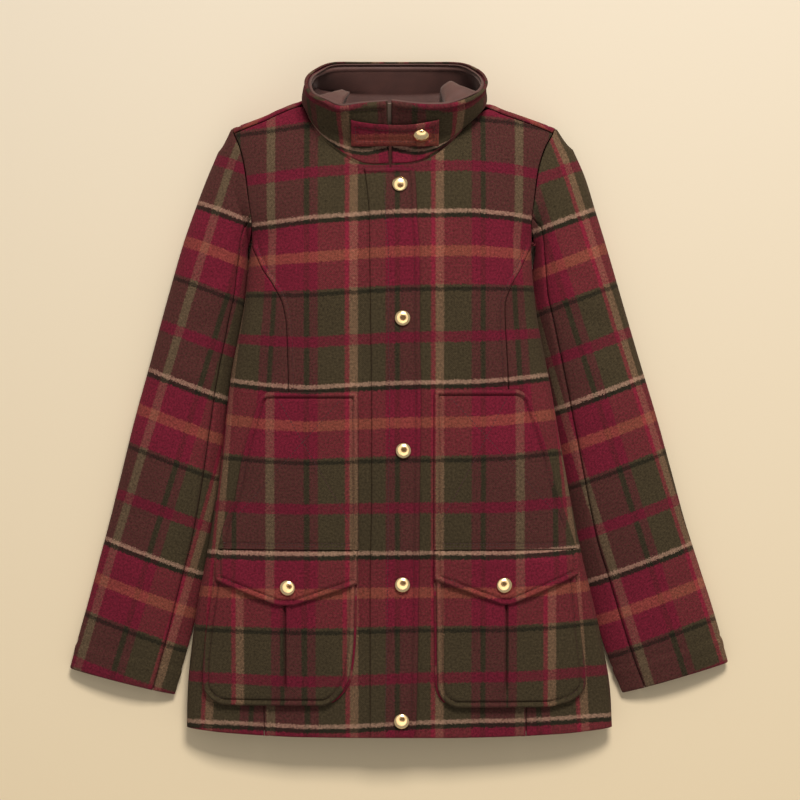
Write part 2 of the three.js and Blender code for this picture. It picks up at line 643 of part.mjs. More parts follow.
function collar() {
  const rounds = steps(0, 1, 36);
  const ups = [0, 0.15, 0.3, 0.62, 1];
  const outer = (u, v) => collarPoint(u, v);
  const inner = (u, v) => collarInside(u, v, CLOTH);
  addPiece("collar", wallGeometry(outer, inner, rounds, ups), PLAID);
  const liningUps = [0.15, 0.3, 0.62, 0.985];
  const face = (u, v) => collarInside(u, v, CLOTH + LINING_GAP);
  const inside = (u, v) => collarInside(u, v, CLOTH + LINING_GAP + LINING_CLOTH);
  addPiece("collar_lining", wallGeometry(face, inside, rounds, liningUps), LINING);
}

// Storm placket, laid on the two fronts
function placket() {
  const seam = column(PLACKET, "y", "seam");
  const free = column(PLACKET, "y", "free");
  const top = PLACKET[PLACKET.length - 1].y;
  const place = (u, v, lift) => {
    const y = lerp(PLACKET[0].y, top, v);
    return onFront(lerp(seam(y), free(y), u), y, lift);
  };
  const vs = [0, 0.008, 0.016, ...steps(0.06, 0.97, 22), 0.988, 1];
  const outer = (u, v) => place(u, v, LAY_GAP + PLACKET_CLOTH);
  const inner = (u, v) => place(u, v, LAY_GAP);
  addPiece("storm_placket", wallGeometry(outer, inner, steps(0, 1, 4), vs), PLAID);
}

// Patch pockets, laid on the fronts over the princess seam
function pocketPuff(x, y, pocket) {
  const rows = pocket.lower;
  const outer = column(rows, "y", "outer")(y);
  const inner = column(rows, "y", "inner")(y);
  const across = clamp((x - inner) / (outer - inner), 0, 1);
  const up = clamp((y - rows[0].y) / (rows[rows.length - 1].y - rows[0].y), 0, 1);
  const swell = Math.sin(Math.PI * across) * Math.sin(Math.PI * lerp(PUFF_LOW, PUFF_HIGH, up));
  return POCKET_PUFF * swell ** PUFF_POWER;
}

function pocketUpper(side, pocket) {
  const rows = pocket.upper;
  const outerEdge = column(rows, "y", "outer");
  const innerEdge = column(rows, "y", "inner");
  const place = (u, y, lift) => onFront(lerp(innerEdge(y), outerEdge(y), u), y, lift);
  const outer = (u, v) => place(u, v, LAY_GAP + CLOTH);
  const inner = (u, v) => place(u, v, LAY_GAP);
  const vs = [...steps(rows[0].y, 1, 8), 6, rows[rows.length - 1].y];
  const us = steps(0, Math.PI / 2, 10).map(Math.sin);
  addPiece(`pocket_upper_${side}`, wallGeometry(outer, inner, us, vs), PLAID);
}

function flapLift(x, y, pocket) {
  const ramp = clamp((FLAP_TOP_Y - y) / FLAP_RAMP, 0, 1);
  const rise = ramp * ramp * (3 - 2 * ramp);
  return lerp(LAY_GAP, FLAP_LIFT + pocketPuff(x, y, pocket), rise);
}

function pocketFlap(side, pocket) {
  const flap = pocket.flap;
  const lowerEdge = (x) => {
    const innerSlope = clamp((x - flap.inner) / (flap.pointTo - flap.inner), 0, 1);
    const outerSlope = clamp((x - flap.outer) / (flap.pointFrom - flap.outer), 0, 1);
    const fromInner = lerp(flap.innerDrop, flap.point, innerSlope);
    const fromOuter = lerp(flap.outerDrop, flap.point, outerSlope);
    return Math.max(fromInner, fromOuter);
  };
  const stations = [flap.inner, flap.pointTo, flap.pointFrom, flap.outer];
  const us = [
    ...steps(stations[0], stations[1], 6),
    ...steps(stations[1], stations[2], 2).slice(1),
    ...steps(stations[2], stations[3], 6).slice(1),
  ];
  const place = (x, v, thick) => {
    const y = lerp(lowerEdge(x), FLAP_TOP_Y, v);
    return onFront(x, y, flapLift(x, y, pocket) + thick);
  };
  const outer = (u, v) => place(u, v, CLOTH);
  const inner = (u, v) => place(u, v, 0);
  addPiece(`pocket_flap_${side}`, wallGeometry(outer, inner, us, [0, 0.25, 0.5, 0.72, 0.86, 1]), PLAID);
}

function pocketLower(side, pocket) {
  const rows = pocket.lower;
  const outerEdge = column(rows, "y", "outer");
  const innerEdge = column(rows, "y", "inner");
  const top = rows[rows.length - 1].y;
  const middle = (y) => (pocket.pleatX - innerEdge(y)) / (outerEdge(y) - innerEdge(y));
  const place = (u, y, thick) => {
    const width = Math.abs(outerEdge(y) - innerEdge(y));
    const half = PLEAT_HALF_WIDTH / width;
    const inPleat = u > 1 && u < 2;
    let share = middle(y);
    if (u <= 1) share = lerp(0, middle(y) - half, u);
    if (u >= 2) share = lerp(middle(y) + half, 1, u - 2);
    const x = lerp(innerEdge(y), outerEdge(y), share);
    const open = inPleat ? clamp((y - rows[0].y) / PLEAT_CLOSE, 0, 1) : 0;
    return onFront(x, y, LOWER_LIFT + pocketPuff(x, y, pocket) - PLEAT_DEPTH * open + thick);
  };
  const us = [...steps(0, 1, 6), 1.5, ...steps(2, 3, 6)];
  const vs = [rows[0].y, rows[1].y, rows[2].y, rows[3].y, ...steps(-295, top, 5)];
  const outer = (u, v) => place(u, v, CLOTH);
  const inner = (u, v) => place(u, v, 0);
  addPiece(`pocket_lower_${side}`, wallGeometry(outer, inner, us, vs), PLAID);
}

// Gusset: the bellows strip that shows at the zip side of the lower pocket
function pocketGusset(side, pocket) {
  const outward = side === "left" ? 1 : -1;
  const innerEdge = column(pocket.lower, "y", "inner");
  const place = (u, y, lift) => {
    const x = innerEdge(y) - outward * GUSSET_PROUD + outward * u * GUSSET_WIDTH;
    return onFront(x, y, lift);
  };
  const outer = (u, v) => place(u, v, LAY_GAP + GUSSET_CLOTH);
  const inner = (u, v) => place(u, v, LAY_GAP);
  const vs = [-346, -338, -330, ...steps(-316, GUSSET_TOP_Y, 7)];
  addPiece(`pocket_gusset_${side}`, wallGeometry(outer, inner, [0, 1], vs), PLAID);
}

// Collar tab: a strap over the collar's opening, leaning with the collar
const collarSlope = (COLLAR[0].rim[2] - COLLAR[0].fold[2]) / (COLLAR[0].rim[1] - COLLAR[0].fold[1]);
const tabNormal = new THREE.Vector3(0, -collarSlope, 1).normalize();

function onTab(x, y, lift) {
  const z = COLLAR[0].fold[2] + (y - COLLAR[0].fold[1]) * collarSlope;
  return new THREE.Vector3(x, y, z).addScaledVector(tabNormal, TAB.lift + lift);
}

function collarTab() {
  const place = (u, v, lift) => {
    const x = lerp(TAB.right, TAB.left, u);
    const high = TAB.high - TAB.sag * Math.sin(Math.PI * u);
    return onTab(x, lerp(TAB.low, high, v), lift);
  };
  const outer = (u, v) => place(u, v, TAB.cloth);
  const inner = (u, v) => place(u, v, 0);
  addPiece("collar_tab", wallGeometry(outer, inner, steps(0, 1, 8), steps(0, 1, 3)), PLAID);
}

// The end of the zip, seen through the collar's opening
function zipTape() {
  const depth = CLOTH + LINING_GAP * 2 + LINING_CLOTH;
  const place = (u, v, inside) => {
    const low = collarPoint(0, v);
    return low.setX(CENTRE_X - TAPE_ASIDE + u * TAPE_HALF_WIDTH).addScaledVector(tabNormal, -depth - inside);
  };
  const outer = (u, v) => place(u, v, 0);
  const inner = (u, v) => place(u, v, TAPE_CLOTH);
  addPiece("zip_tape", wallGeometry(outer, inner, [-1, 1], steps(0.34, 0.93, 5)), TAPE);
}

// Snap caps: a low dome with a rolled rim
const snapRadius = SNAP_DIAMETER / 2;
const snapProfile = [
  [0, 0],
  [snapRadius * 0.9, 0],
  [snapRadius, 1.1],
  [snapRadius * 0.93, 2.2],
  [snapRadius * 0.7, 3.6],
  [snapRadius * 0.38, 4.35],
  [0, SNAP_HEIGHT],
].map(([radius, height]) => new THREE.Vector2(radius, height));

function snap(name, seat, normal) {
  const cap = new THREE.LatheGeometry(snapProfile, SNAP_SIDES);
  cap.applyQuaternion(new THREE.Quaternion().setFromUnitVectors(new THREE.Vector3(0, 1, 0), normal));
  cap.translate(seat.x, seat.y, seat.z);
  addPiece(name, cap, GOLD);
}

function snaps() {
  PLACKET_SNAPS.forEach(({ x, y }, i) => {
    snap(`snap_front_${i + 1}`, onFront(x, y, LAY_GAP * 2 + PLACKET_CLOTH), frontNormal(x, y));
  });
  for (const side of ["right", "left"]) {
    const { x, y } = POCKETS[side].snap;
    const lift = flapLift(x, y, POCKETS[side]) + CLOTH + LAY_GAP;
    snap(`snap_pocket_${side}`, onFront(x, y, lift), frontNormal(x, y));
  }
  snap("snap_tab", onTab(TAB_SNAP.x, TAB_SNAP.y, TAB.cloth + SEAM_GAP), tabNormal);
}

backPanel();
for (const side of ["right", "left"]) {
  centreFront(side);
  sideFront(side);
  sleeve(side, side === "right" ? SLEEVE_RIGHT : SLEEVE_LEFT);
  pocketUpper(side, POCKETS[side]);
  pocketLower(side, POCKETS[side]);
  pocketGusset(side, POCKETS[side]);
  pocketFlap(side, POCKETS[side]);
}
collar();
placket();
collarTab();
zipTape();
snaps();

// The origin is under the middle of the coat, on the surface that it lies on
const box = new THREE.Box3().setFromObject(coat);
const middle = box.getCenter(new THREE.Vector3());
coat.position.set(-middle.x, -middle.y, -box.min.z);

export default coat;
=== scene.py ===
import math

import bmesh
import bpy
import numpy as np
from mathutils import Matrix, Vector


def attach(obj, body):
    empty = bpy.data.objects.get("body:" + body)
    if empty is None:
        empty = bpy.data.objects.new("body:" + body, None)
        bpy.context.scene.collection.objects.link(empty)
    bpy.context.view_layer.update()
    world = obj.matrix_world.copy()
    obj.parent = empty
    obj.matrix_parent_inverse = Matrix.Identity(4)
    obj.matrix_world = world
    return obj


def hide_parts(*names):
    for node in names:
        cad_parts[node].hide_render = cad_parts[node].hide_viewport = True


# Women's wool field coat laid on its back. Tables are in millimetres; each finished mesh is in metres.

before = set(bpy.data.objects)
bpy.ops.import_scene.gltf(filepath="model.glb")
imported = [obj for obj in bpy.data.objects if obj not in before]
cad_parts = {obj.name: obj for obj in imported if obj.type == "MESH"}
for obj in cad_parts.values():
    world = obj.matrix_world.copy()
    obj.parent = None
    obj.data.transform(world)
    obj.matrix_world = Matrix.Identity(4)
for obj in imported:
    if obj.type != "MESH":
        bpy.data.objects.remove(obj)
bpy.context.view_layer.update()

MM = 0.001
FRAME_SHIFT = np.array([0.0, -2.0, 0.0])

# Camera and stage
CAMERA_HEIGHT = 2.6
FOCUS_HEIGHT = 0.04
VIEW_WIDTH = 0.92
SENSOR = 36.0
VIEW_CENTRE = (0.00115, -0.002)
FLOOR_SIZE = 9.0
CEILING_SIZE = 2.7
TENT_SIZE = 8.0
TENT_HEIGHT = 3.4
CEILING_HEIGHT = 2.95

# Cloth and gaps, as in the part
CLOTH = 2.2
BACK_CLOTH = 2.4
LEAST_FLAT = 0.0105
LINING_CLOTH = 1.4
SEAM_GAP = 0.4
LAY_GAP = 0.6
ARMHOLE_GAP = 0.9
LINING_GAP = 0.8
HEM_Y = -388
HEM_RISE = 9
UNDERARM_Y = 183
SIDE_FRONT_TOP = 181
SHOULDER_TIP_Y = 307
CENTRE_X = -10
DOME_POWER = 2.5
DOME_ROOT = 2.2
NORMAL_REACH = 0.9995
SLOPE_STEP = 0.02


def table(names, rows):
    """A table's columns by name"""
    return {name: np.array(values, float) for name, values in zip(names.split(), zip(*rows))}


BODY = table("y right left crown side", [
    (-388, -246, 247, 48, 19),
    (-348, -245, 245, 51, 21),
    (-267, -237, 231, 56, 25),
    (-177, -221, 210, 63, 29),
    (-73, -205, 190, 71, 33),
    (24, -194, 173, 77, 35),
    (112, -178, 157, 83, 35),
    (168, -172, 153, 85, 34),
    (183, -170, 153.5, 85, 34),
    (215, -186, 170, 84, 29),
    (250, -194, 179, 81, 23),
    (285, -197, 184, 77, 18),
    (310, -198, 187, 70, 15),
    (345, -198, 187, 58, 12),
])

FRONT_SEAM = table("y right left", [
    (-388, -155, 146),
    (-351, -155, 146),
    (-114, -127, 126),
    (8, -126, 125),
    (78, -128, 122),
    (106, -132, 121),
    (131, -144, 129),
    (152, -158, 141),
    (183, -170, 153.5),
    (200, -169.5, 152.5),
    (232, -173, 155.5),
    (264, -177, 160),
    (289, -183, 168),
    (307, -191, 178),
])

FRONT_TOP = table("x y", [
    (-191, 307), (-153, 320), (-138, 327), (-110, 336), (-106, 324), (-94, 304), (-81, 291),
    (-66, 279), (-42, 267), (-10, 266.5), (16, 268), (35, 275), (57, 291), (75, 311),
    (91, 326), (102, 333), (118, 327), (139, 320), (178, 307),
])

BACK_NECK = table("x y z", [
    (-110, 339, 47), (-101, 341, 30), (-85, 334, 12), (-60, 327, 3), (-30, 322, 0.6), (-5, 321, 0.5),
    (20, 322, 0.6), (50, 326, 3), (77, 332, 12), (93, 338, 30), (102, 336, 46),
])

NECK_ENDS = {"right": BACK_NECK["x"][0], "left": BACK_NECK["x"][-1]}
NECK_END_Z = BACK_NECK["z"][0]

BACK_ARMHOLE = table("way right left", [
    (0, -170, 153.5),
    (0.15, -161, 145),
    (0.4, -160, 144),
    (0.6, -170, 154),
    (0.74, -184, 169),
    (0.88, -193, 181),
    (1, -191, 178),
])
SHOULDER_TURN = 0.74
SHOULDER_ROUND = 12
SHOULDER_FULL_Z = 30
ROLL_FALL = 0.16
RIDGE_PROUD = 7
NECK_TURNED = 2.6
ROLL_SHARE = 0.083

SLEEVES = {
    "right": table("ox oy ix iy", [
        (-210, 287, -175, 176),
        (-224, 254, -175.5, 166),
        (-236, 222, -173, 148),
        (-249, 185, -173, 115),
        (-270, 112, -179, 72),
        (-291, 35, -190.5, 5),
        (-307, -23, -197.5, -55),
        (-323, -88, -206, -120),
        (-336, -140, -215.5, -172),
        (-350, -192, -229, -222),
        (-361, -233, -239, -262),
        (-372, -272, -250, -303),
        (-383, -312, -261, -343),
    ]),
    "left": table("ox oy ix iy", [
        (202, 290, 158.5, 176),
        (216, 258, 157.5, 165),
        (228, 219, 154.5, 146),
        (240, 180, 153, 112),
        (258, 118, 160, 68),
        (278, 50, 171.5, 5),
        (300, -23, 182.5, -60),
        (317, -85, 192.5, -118),
        (332, -140, 203, -170),
        (347, -187, 218, -218),
        (362, -233, 231, -262),
        (373, -270, 244, -301),
        (383, -305, 260, -341),
    ]),
}
SLEEVE_HEIGHTS = table("top rim_out rim_in bow", [
    (48, 17, 27, 6),
    (50, 16, 19, 5),
    (50, 16, 12, 3),
    (49, 15, 9, 1),
    (47, 14, 7.5, 0),
    (45, 13, 7, 0),
    (42, 13, 7, 0),
    (39, 12, 7, 0),
    (36, 12, 7, 0),
    (32, 11, 8, 0),
    (29, 10, 8.5, 0),
    (26, 10, 9, 0),
    (23, 9, 9, 0),
])
FRONT_SLEEVE_SEAM = 0.8
SLEEVE_SEAM_TURN = 0.004

COLLAR = table("front nx fx fy fz rx ry rz", [
    (1, -11.5, -11.5, 287, 79, -12.6, 332, 121),
    (1, -40, -41, 287, 79, -41, 330, 120),
    (1, -70, -73, 300, 82, -67, 327, 118),
    (1, -94, -98, 317, 79, -82, 334, 112),
    (1, -106, -109, 335, 72, -99, 344, 101),
    (0, -109.5, -109.5, 349, 60, -105, 358, 88),
    (0, -101, -105, 358, 42, -103, 369, 73),
    (0, -85, -98, 362, 22, -95, 379, 56),
    (0, -60, -75, 360, 9, -79, 389, 38),
    (0, -30, -36, 357, 5, -42, 391.5, 26),
    (0, -5, -4, 356, 4, -3, 392, 22),
    (0, 20, 28, 357, 5, 36, 391.5, 26),
    (0, 50, 66, 360, 9, 72, 389, 37),
    (0, 77, 90, 361, 22, 88, 380, 54),
    (0, 93, 97.5, 356, 42, 97, 369, 72),
    (0, 101.5, 101.5, 347, 60, 99, 358, 87),
    (1, 91, 99, 333, 72, 93, 347, 99),
    (1, 75, 85, 320, 78, 80, 338, 109),
    (1, 52, 60, 300, 81, 57, 330, 117),
    (1, 22, 24, 287, 79, 26, 329, 120),
    (1, -8.5, -8.5, 287, 79, -8.6, 332.6, 121),
])
COLLAR_FOLD_AT = 0.3
NECK_GAP = 1.5
NECK_MIDDLE_X = -4
NECK_TURN_X = 60
COLLAR_HOLLOW = np.array([-4.0, 345.0, 70.0])

PLACKET = table("y seam free", [
    (-387, -33, 17),
    (-378, -33, 19.5),
    (-353, -33, 20.5),
    (-212, -33, 23),
    (-100, -31, 24),
    (0, -31, 25.5),
    (77, -32, 24),
    (163, -33, 24),
    (207, -33.5, 21),
    (255, -38, 18.5),
    (263, -39.5, 16),
])
PLACKET_CLOTH = 3

TAB = {"right": -54, "left": 45, "low": 289.5, "high": 316, "sag": 5, "lift": 1.6, "cloth": 3.2}

POCKETS = {
    "right": {
        "upper": table("y outer inner", [
            (-170.5, -207, -45.5), (-148, -202, -45.5), (-126, -194, -45.5), (-112, -188, -45.5),
            (-66, -179, -46), (-17, -165, -46), (1, -159, -46), (6, -155, -46.5), (9, -150, -48),
        ]),
        "lower": table("y outer inner", [
            (-350, -203, -84), (-343, -216, -73), (-330, -224, -62), (-316, -224.5, -56),
            (-268, -220.5, -51), (-220, -213, -50), (-187, -207, -49.5),
        ]),
        "flap": {"outer": -208, "inner": -47, "outer_drop": -207, "inner_drop": -209,
                 "point": -234, "point_from": -137, "point_to": -118},
        "pleat": -130,
        "snap": (-126, -213),
    },
    "left": {
        "upper": table("y outer inner", [
            (-170.5, 203, 39), (-148, 196, 39), (-124, 188, 39), (-101, 180, 39), (-58, 169, 39),
            (-13, 154, 39), (1, 149, 39), (8, 143, 39.5), (12, 135, 41),
        ]),
        "lower": table("y outer inner", [
            (-352, 172, 64), (-346, 196, 53), (-336, 209, 46), (-325, 214, 43.5),
            (-267, 208, 42.5), (-220, 203, 42), (-187, 199, 41.5),
        ]),
        "flap": {"outer": 203, "inner": 39.5, "outer_drop": -201, "inner_drop": -204,
                 "point": -233, "point_from": 127, "point_to": 116},
        "pleat": 122,
        "snap": (119, -210),
    },
}
FLAP_TOP_Y = -171.2
FLAP_RAMP = 13
GUSSET_CLOTH = 1.8
GUSSET_PROUD = 2.2
GUSSET_WIDTH = 5
GUSSET_LOW, GUSSET_HIGH = -346, -200
GUSSET_STRIPE, GUSSET_ROW = 62, 25
LOWER_LIFT = LAY_GAP + GUSSET_CLOTH + LAY_GAP
FLAP_LIFT = LOWER_LIFT + CLOTH + LAY_GAP
POCKET_PUFF = 2.6

PLACKET_SNAPS = [(1, 244), (4, 93), (5, -57), (4, -210), (3, -367)]
TAB_SNAP = (25, 301)
SNAP_RADIUS = 8.9
SNAP_HEIGHT = 4.6
PLACKET_INNER = 36
CUFF_STITCH, CUFF_HEM = 18, 40

SIDES = {"right": -1, "left": 1}


# Forms: smooth readings of the tables and the surfaces that the cloth follows

def lerp(a, b, t):
    return a + (b - a) * t


def ease(t):
    t = np.clip(t, 0, 1)
    return t * t * (3 - 2 * t)


def hump(t):
    return np.sin(math.pi * t)


def bell(t):
    return np.exp(-t ** 2)


def column(rows, key, value):
    """A smooth reading of one column of a table, without overshoot between its rows"""
    at, to = rows[key], rows[value]
    grade = np.diff(to) / np.diff(at)
    tilt = np.zeros_like(to)
    tilt[0], tilt[-1] = grade[0], grade[-1]
    for i in range(1, len(at) - 1):
        product = grade[i - 1] * grade[i]
        tilt[i] = 2 * product / (grade[i - 1] + grade[i]) if product > 0 else 0

    def read(where):
        x = np.clip(where, at[0], at[-1])
        i = np.clip(np.searchsorted(at, x, side="right") - 1, 0, len(at) - 2)
        span = at[i + 1] - at[i]
        t = (x - at[i]) / span
        bend = t * (1 - t) ** 2 * span * tilt[i] + t * t * (t - 1) * span * tilt[i + 1]
        return lerp(to[i], to[i + 1], t * t * (3 - 2 * t)) + bend

    return read


right_edge, left_edge, crown_height, side_height = (
    column(BODY, "y", name) for name in ("right", "left", "crown", "side"))
front_top = column(FRONT_TOP, "x", "y")
back_neck_y = column(BACK_NECK, "x", "y")
back_neck_z = column(BACK_NECK, "x", "z")
back_arm = {side: column(BACK_ARMHOLE, "way", side) for side in SIDES}
front_seam = {side: column(FRONT_SEAM, "y", side) for side in SIDES}


def hem_y(x):
    return HEM_Y + HEM_RISE * np.abs(x / left_edge(HEM_Y)) ** 3


def body_row(x, row_y):
    return lerp(hem_y(x), UNDERARM_Y, (row_y - HEM_Y) / (UNDERARM_Y - HEM_Y))


def halves(y):
    """The body's middle and half its width"""
    right, left = right_edge(y), left_edge(y)
    return (right + left) / 2, (left - right) / 2


def front_height(x, y):
    middle, half = halves(y)
    across = np.minimum(np.abs((x - middle) / half), 1)
    dome = (1 - across ** DOME_POWER) ** (1 / DOME_ROOT)
    return lerp(side_height(y), crown_height(y), dome)


def unit(vectors):
    return vectors / np.maximum(np.linalg.norm(vectors, axis=-1, keepdims=True), 1e-9)


def front_normal(x, y):
    middle, half = halves(y)
    inside = middle + np.clip((x - middle) / half, -NORMAL_REACH, NORMAL_REACH) * half
    rise_x = front_height(inside + SLOPE_STEP, y) - front_height(inside - SLOPE_STEP, y)
    slope_y = (front_height(inside, y + 1) - front_height(inside, y - 1)) / 2
    return unit(np.stack([-rise_x / (2 * SLOPE_STEP), -slope_y, np.ones_like(slope_y)], -1))


def on_front(x, y, lift=0.0):
    point = np.stack([x, y, front_height(x, y)], -1)
    return point + front_normal(x, y) * np.asarray(lift)[..., None]


def back_roll(share):
    from_side = np.minimum(share, 1 - share) / ROLL_SHARE
    lean = np.clip(1 - from_side, 0, 1)
    return 1 - np.sqrt(np.maximum(1 - lean * lean, 0))


def back_point(share, way, y):
    """The back panel: way is 0 up to the underarm, then runs to 1 at the shoulder seam or neckline"""
    roll = back_roll(share)
    side_z = side_height(y) - SEAM_GAP * 1.5
    low = np.stack([lerp(right_edge(y), left_edge(y), share), y, side_z * roll], -1)
    x = lerp(back_arm["right"](way), back_arm["left"](way), share)
    seam_x = lerp(back_arm["right"](1), back_arm["left"](1), share)
    neck = (seam_x > NECK_ENDS["right"] - 0.5) & (seam_x < NECK_ENDS["left"] + 0.5)
    end_y = np.where(neck, back_neck_y(seam_x), front_top(seam_x) + SEAM_GAP + 0.2)
    neck_z = np.maximum(back_neck_z(seam_x), NECK_TURNED)
    end_z = np.where(neck, neck_z, front_height(seam_x, front_top(seam_x)))
    proud = np.where(neck, RIDGE_PROUD * np.clip(end_z / NECK_END_Z, 0.35, 1), RIDGE_PROUD)
    turn_y = end_y + proud - SHOULDER_ROUND * np.clip(end_z / SHOULDER_FULL_Z, 0.1, 1)
    fall = np.clip(1 - way / ROLL_FALL, 0, 1) ** 1.5
    arm_z = roll * fall * (side_height(UNDERARM_Y) - SEAM_GAP * 1.5)
    flat_y = lerp(UNDERARM_Y, turn_y, np.minimum(way / SHOULDER_TURN, 1))
    turn = np.clip((way - SHOULDER_TURN) / (1 - SHOULDER_TURN), 0, 1)
    first, second = np.minimum(turn * 2, 1) * math.pi / 2, np.maximum(turn * 2 - 1, 0) * math.pi / 2
    peak = end_y + proud
    high_y = flat_y + (peak - turn_y) * np.sin(first) + (end_y - peak) * (1 - np.cos(second))
    high_z = arm_z + end_z / 2 * (1 - np.cos(first) + np.sin(second))
    high = np.stack([x, high_y, high_z], -1)
    return np.where((way <= 0)[..., None], low, high)


def armhole_point(side, turn):
    outward = SIDES[side]
    along = (1 - np.cos(turn)) / 2
    y = lerp(SHOULDER_TIP_Y, UNDERARM_Y, along)
    front = on_front(front_seam[side](y), y)
    front[..., 0] += outward * ARMHOLE_GAP
    way = 1 - np.where(turn < 0, -turn, 2 * math.pi - turn) / math.pi
    way = np.clip(way, 0.0001, 1)
    share = np.full_like(turn, 1.0 if side == "left" else 0.0)
    back = back_point(share, way, np.full_like(turn, UNDERARM_Y))
    back[..., 0] += outward * ARMHOLE_GAP * 1.3
    on_top = (turn >= 0) & (turn <= math.pi)
    return np.where(on_top[..., None], front, back)


def sleeve_point(side, turn, ring):
    """ring 0 is the armhole, and the rings of the table follow down to the cuff"""
    rows = {**SLEEVES[side], **SLEEVE_HEIGHTS}
    rings = {"ring": np.arange(1.0, len(rows["top"]) + 1), **rows}
    read = {key: column(rings, "ring", key)(ring) for key in rows}
    across = (1 - np.cos(turn)) / 2
    lift = np.sin(turn)
    rim = lerp(read["rim_out"], read["rim_in"], across)
    z = np.where(
        lift >= 0,
        lerp(rim, read["top"], np.maximum(lift, 0) ** lerp(0.85, 1.6, across)),
        rim * (1 - np.maximum(-lift, 0) ** 0.5),
    )
    bow = -SIDES[side] * read["bow"] * np.maximum(lift, 0)
    x = lerp(read["ox"], read["ix"], across) + bow
    y = lerp(read["oy"], read["iy"], across)
    tube = np.stack([x, y, z], -1)
    blend = ease(ring)[..., None]
    return np.where((ring < 1)[..., None], lerp(armhole_point(side, turn), tube, blend), tube)


def spline(points, where):
    """A Catmull-Rom curve through a table's points, spaced by the root of their distance"""
    steps = np.linalg.norm(np.diff(points, axis=0), axis=1) ** 0.5
    first, last = 2 * points[0] - points[1], 2 * points[-1] - points[-2]
    full = np.vstack([first, points, last])
    gaps = np.concatenate([[steps[0]], steps, [steps[-1]]])
    place = np.clip(where, 0, 1) * (len(points) - 1)
    i = np.clip(np.floor(place).astype(int), 0, len(points) - 2)
    t = (place - i)[..., None]
    p0, p1, p2, p3 = (full[i + k] for k in range(4))
    d0, d1, d2 = (gaps[i + k][..., None] for k in range(3))
    m1 = ((p1 - p0) / d0 - (p2 - p0) / (d0 + d1) + (p2 - p1) / d1) * d1
    m2 = ((p2 - p1) / d1 - (p3 - p1) / (d1 + d2) + (p3 - p2) / d2) * d1
    a, b = 2 * p1 - 2 * p2 + m1 + m2, -3 * p1 + 3 * p2 - 2 * m1 - m2
    return ((a * t + b) * t + m1) * t + p1


def collar_neck():
    x = COLLAR["nx"]
    front = COLLAR["front"] > 0
    y = np.where(front, front_top(x), back_neck_y(x))
    z = np.where(front, front_height(x, y), back_neck_z(x))
    aside = np.clip((NECK_MIDDLE_X - x) / NECK_TURN_X, -1, 1)
    return np.stack([x + aside * NECK_GAP, y + NECK_GAP, z + SEAM_GAP], -1)


COLLAR_NECK = collar_neck()
COLLAR_FOLD, COLLAR_RIM = (np.stack([COLLAR[line + axis] for axis in "xyz"], -1) for line in "fr")


def collar_point(round_, up):
    neck, fold, rim = (spline(points, round_) for points in (COLLAR_NECK, COLLAR_FOLD, COLLAR_RIM))
    low = np.clip(up / COLLAR_FOLD_AT, 0, 1)[..., None]
    high = np.clip((up - COLLAR_FOLD_AT) / (1 - COLLAR_FOLD_AT), 0, 1)[..., None]
    return np.where(low < 1, lerp(neck, fold, low), lerp(fold, rim, high))


def collar_inside(round_, up, depth):
    """The collar's surface moved in towards its hollow"""
    next_, last = (collar_point(np.clip(round_ + step, 0, 1), up) for step in (0.004, -0.004))
    above, below = (collar_point(round_, np.clip(up + step, 0, 1)) for step in (0.1, -0.1))
    inward = unit(np.cross(next_ - last, above - below))
    point = collar_point(round_, up)
    turn = np.sign(((COLLAR_HOLLOW - point) * inward).sum(-1))[..., None]
    return point + inward * turn * np.asarray(depth)[..., None]


# Measures along lines and grids

def run_of(steps, axis=0):
    """The way run at each point, from the steps between the points"""
    total = np.cumsum(steps, axis)
    return np.concatenate([np.zeros_like(total.take([0], axis)), total], axis)


def between(stack, place):
    """A reading of stacked values at a place between two of them"""
    low = np.clip(np.floor(place).astype(int), 0, len(stack) - 2)
    first, second = (np.take_along_axis(stack, low[None] + k, 0)[0] for k in (0, 1))
    return lerp(first, second, place - low)


def spaced(length, step, edges=(0.0, 0.6, 1.6, 3.3, 5.4, 6.6, 7.8, 9.4)):
    """Shares from 0 to 1, close together at both ends for the rounded edge and the stitching beside it"""
    ends = [e / length for e in edges]
    count = max(int((length - 2 * edges[-1]) / step), 2)
    middle = list(np.linspace(ends[-1], 1 - ends[-1], count + 1))[1:-1]
    return np.array(ends + middle + [1 - e for e in reversed(ends)])


def surface_normals(points):
    return unit(np.cross(np.gradient(points, axis=1), np.gradient(points, axis=0)))


def surface_side(points):
    """Whether most of a grid faces up"""
    return surface_normals(points)[..., 2].mean()


def facing_out(points, hollow):
    """Which way a grid faces when its normals point away from a hollow"""
    outwards = (surface_normals(points) * (points - hollow)).sum(-1).mean()
    return 1 if outwards * surface_side(points) > 0 else -1


def side_line(grid, side):
    return {"low": grid[0], "end": grid[:, -1], "high": grid[-1], "start": grid[:, 0]}[side]


def gap_to(spots, line):
    """The distance from each of these places to a line in the flat"""
    starts, along = line[:-1], np.diff(line, axis=0)
    share = ((spots[:, None] - starts) * along).sum(-1) / np.maximum((along ** 2).sum(-1), 1e-9)
    near = starts + np.clip(share, 0, 1)[..., None] * along
    return np.linalg.norm(spots[:, None] - near, axis=-1).min(1)


def way_to(plan, sides):
    """Each grid point's distance to the nearest of these sides, in the flat"""
    spots = plan.reshape(-1, 2)
    gaps = [gap_to(spots, side_line(plan, side)) for side in sides]
    return np.min([np.full(len(spots), 1e3)] + gaps, axis=0).reshape(plan.shape[:2])


# Meshes: each cloth piece is a grid, laid on its form and given its thickness

EDGE_RADIUS = 2.4
EDGE_DROP = 1.7
STITCH_IN = 6.6
STITCH_DIP = 1.7
STITCH_SOFT = 1.05
WELT_RISE = 1.5


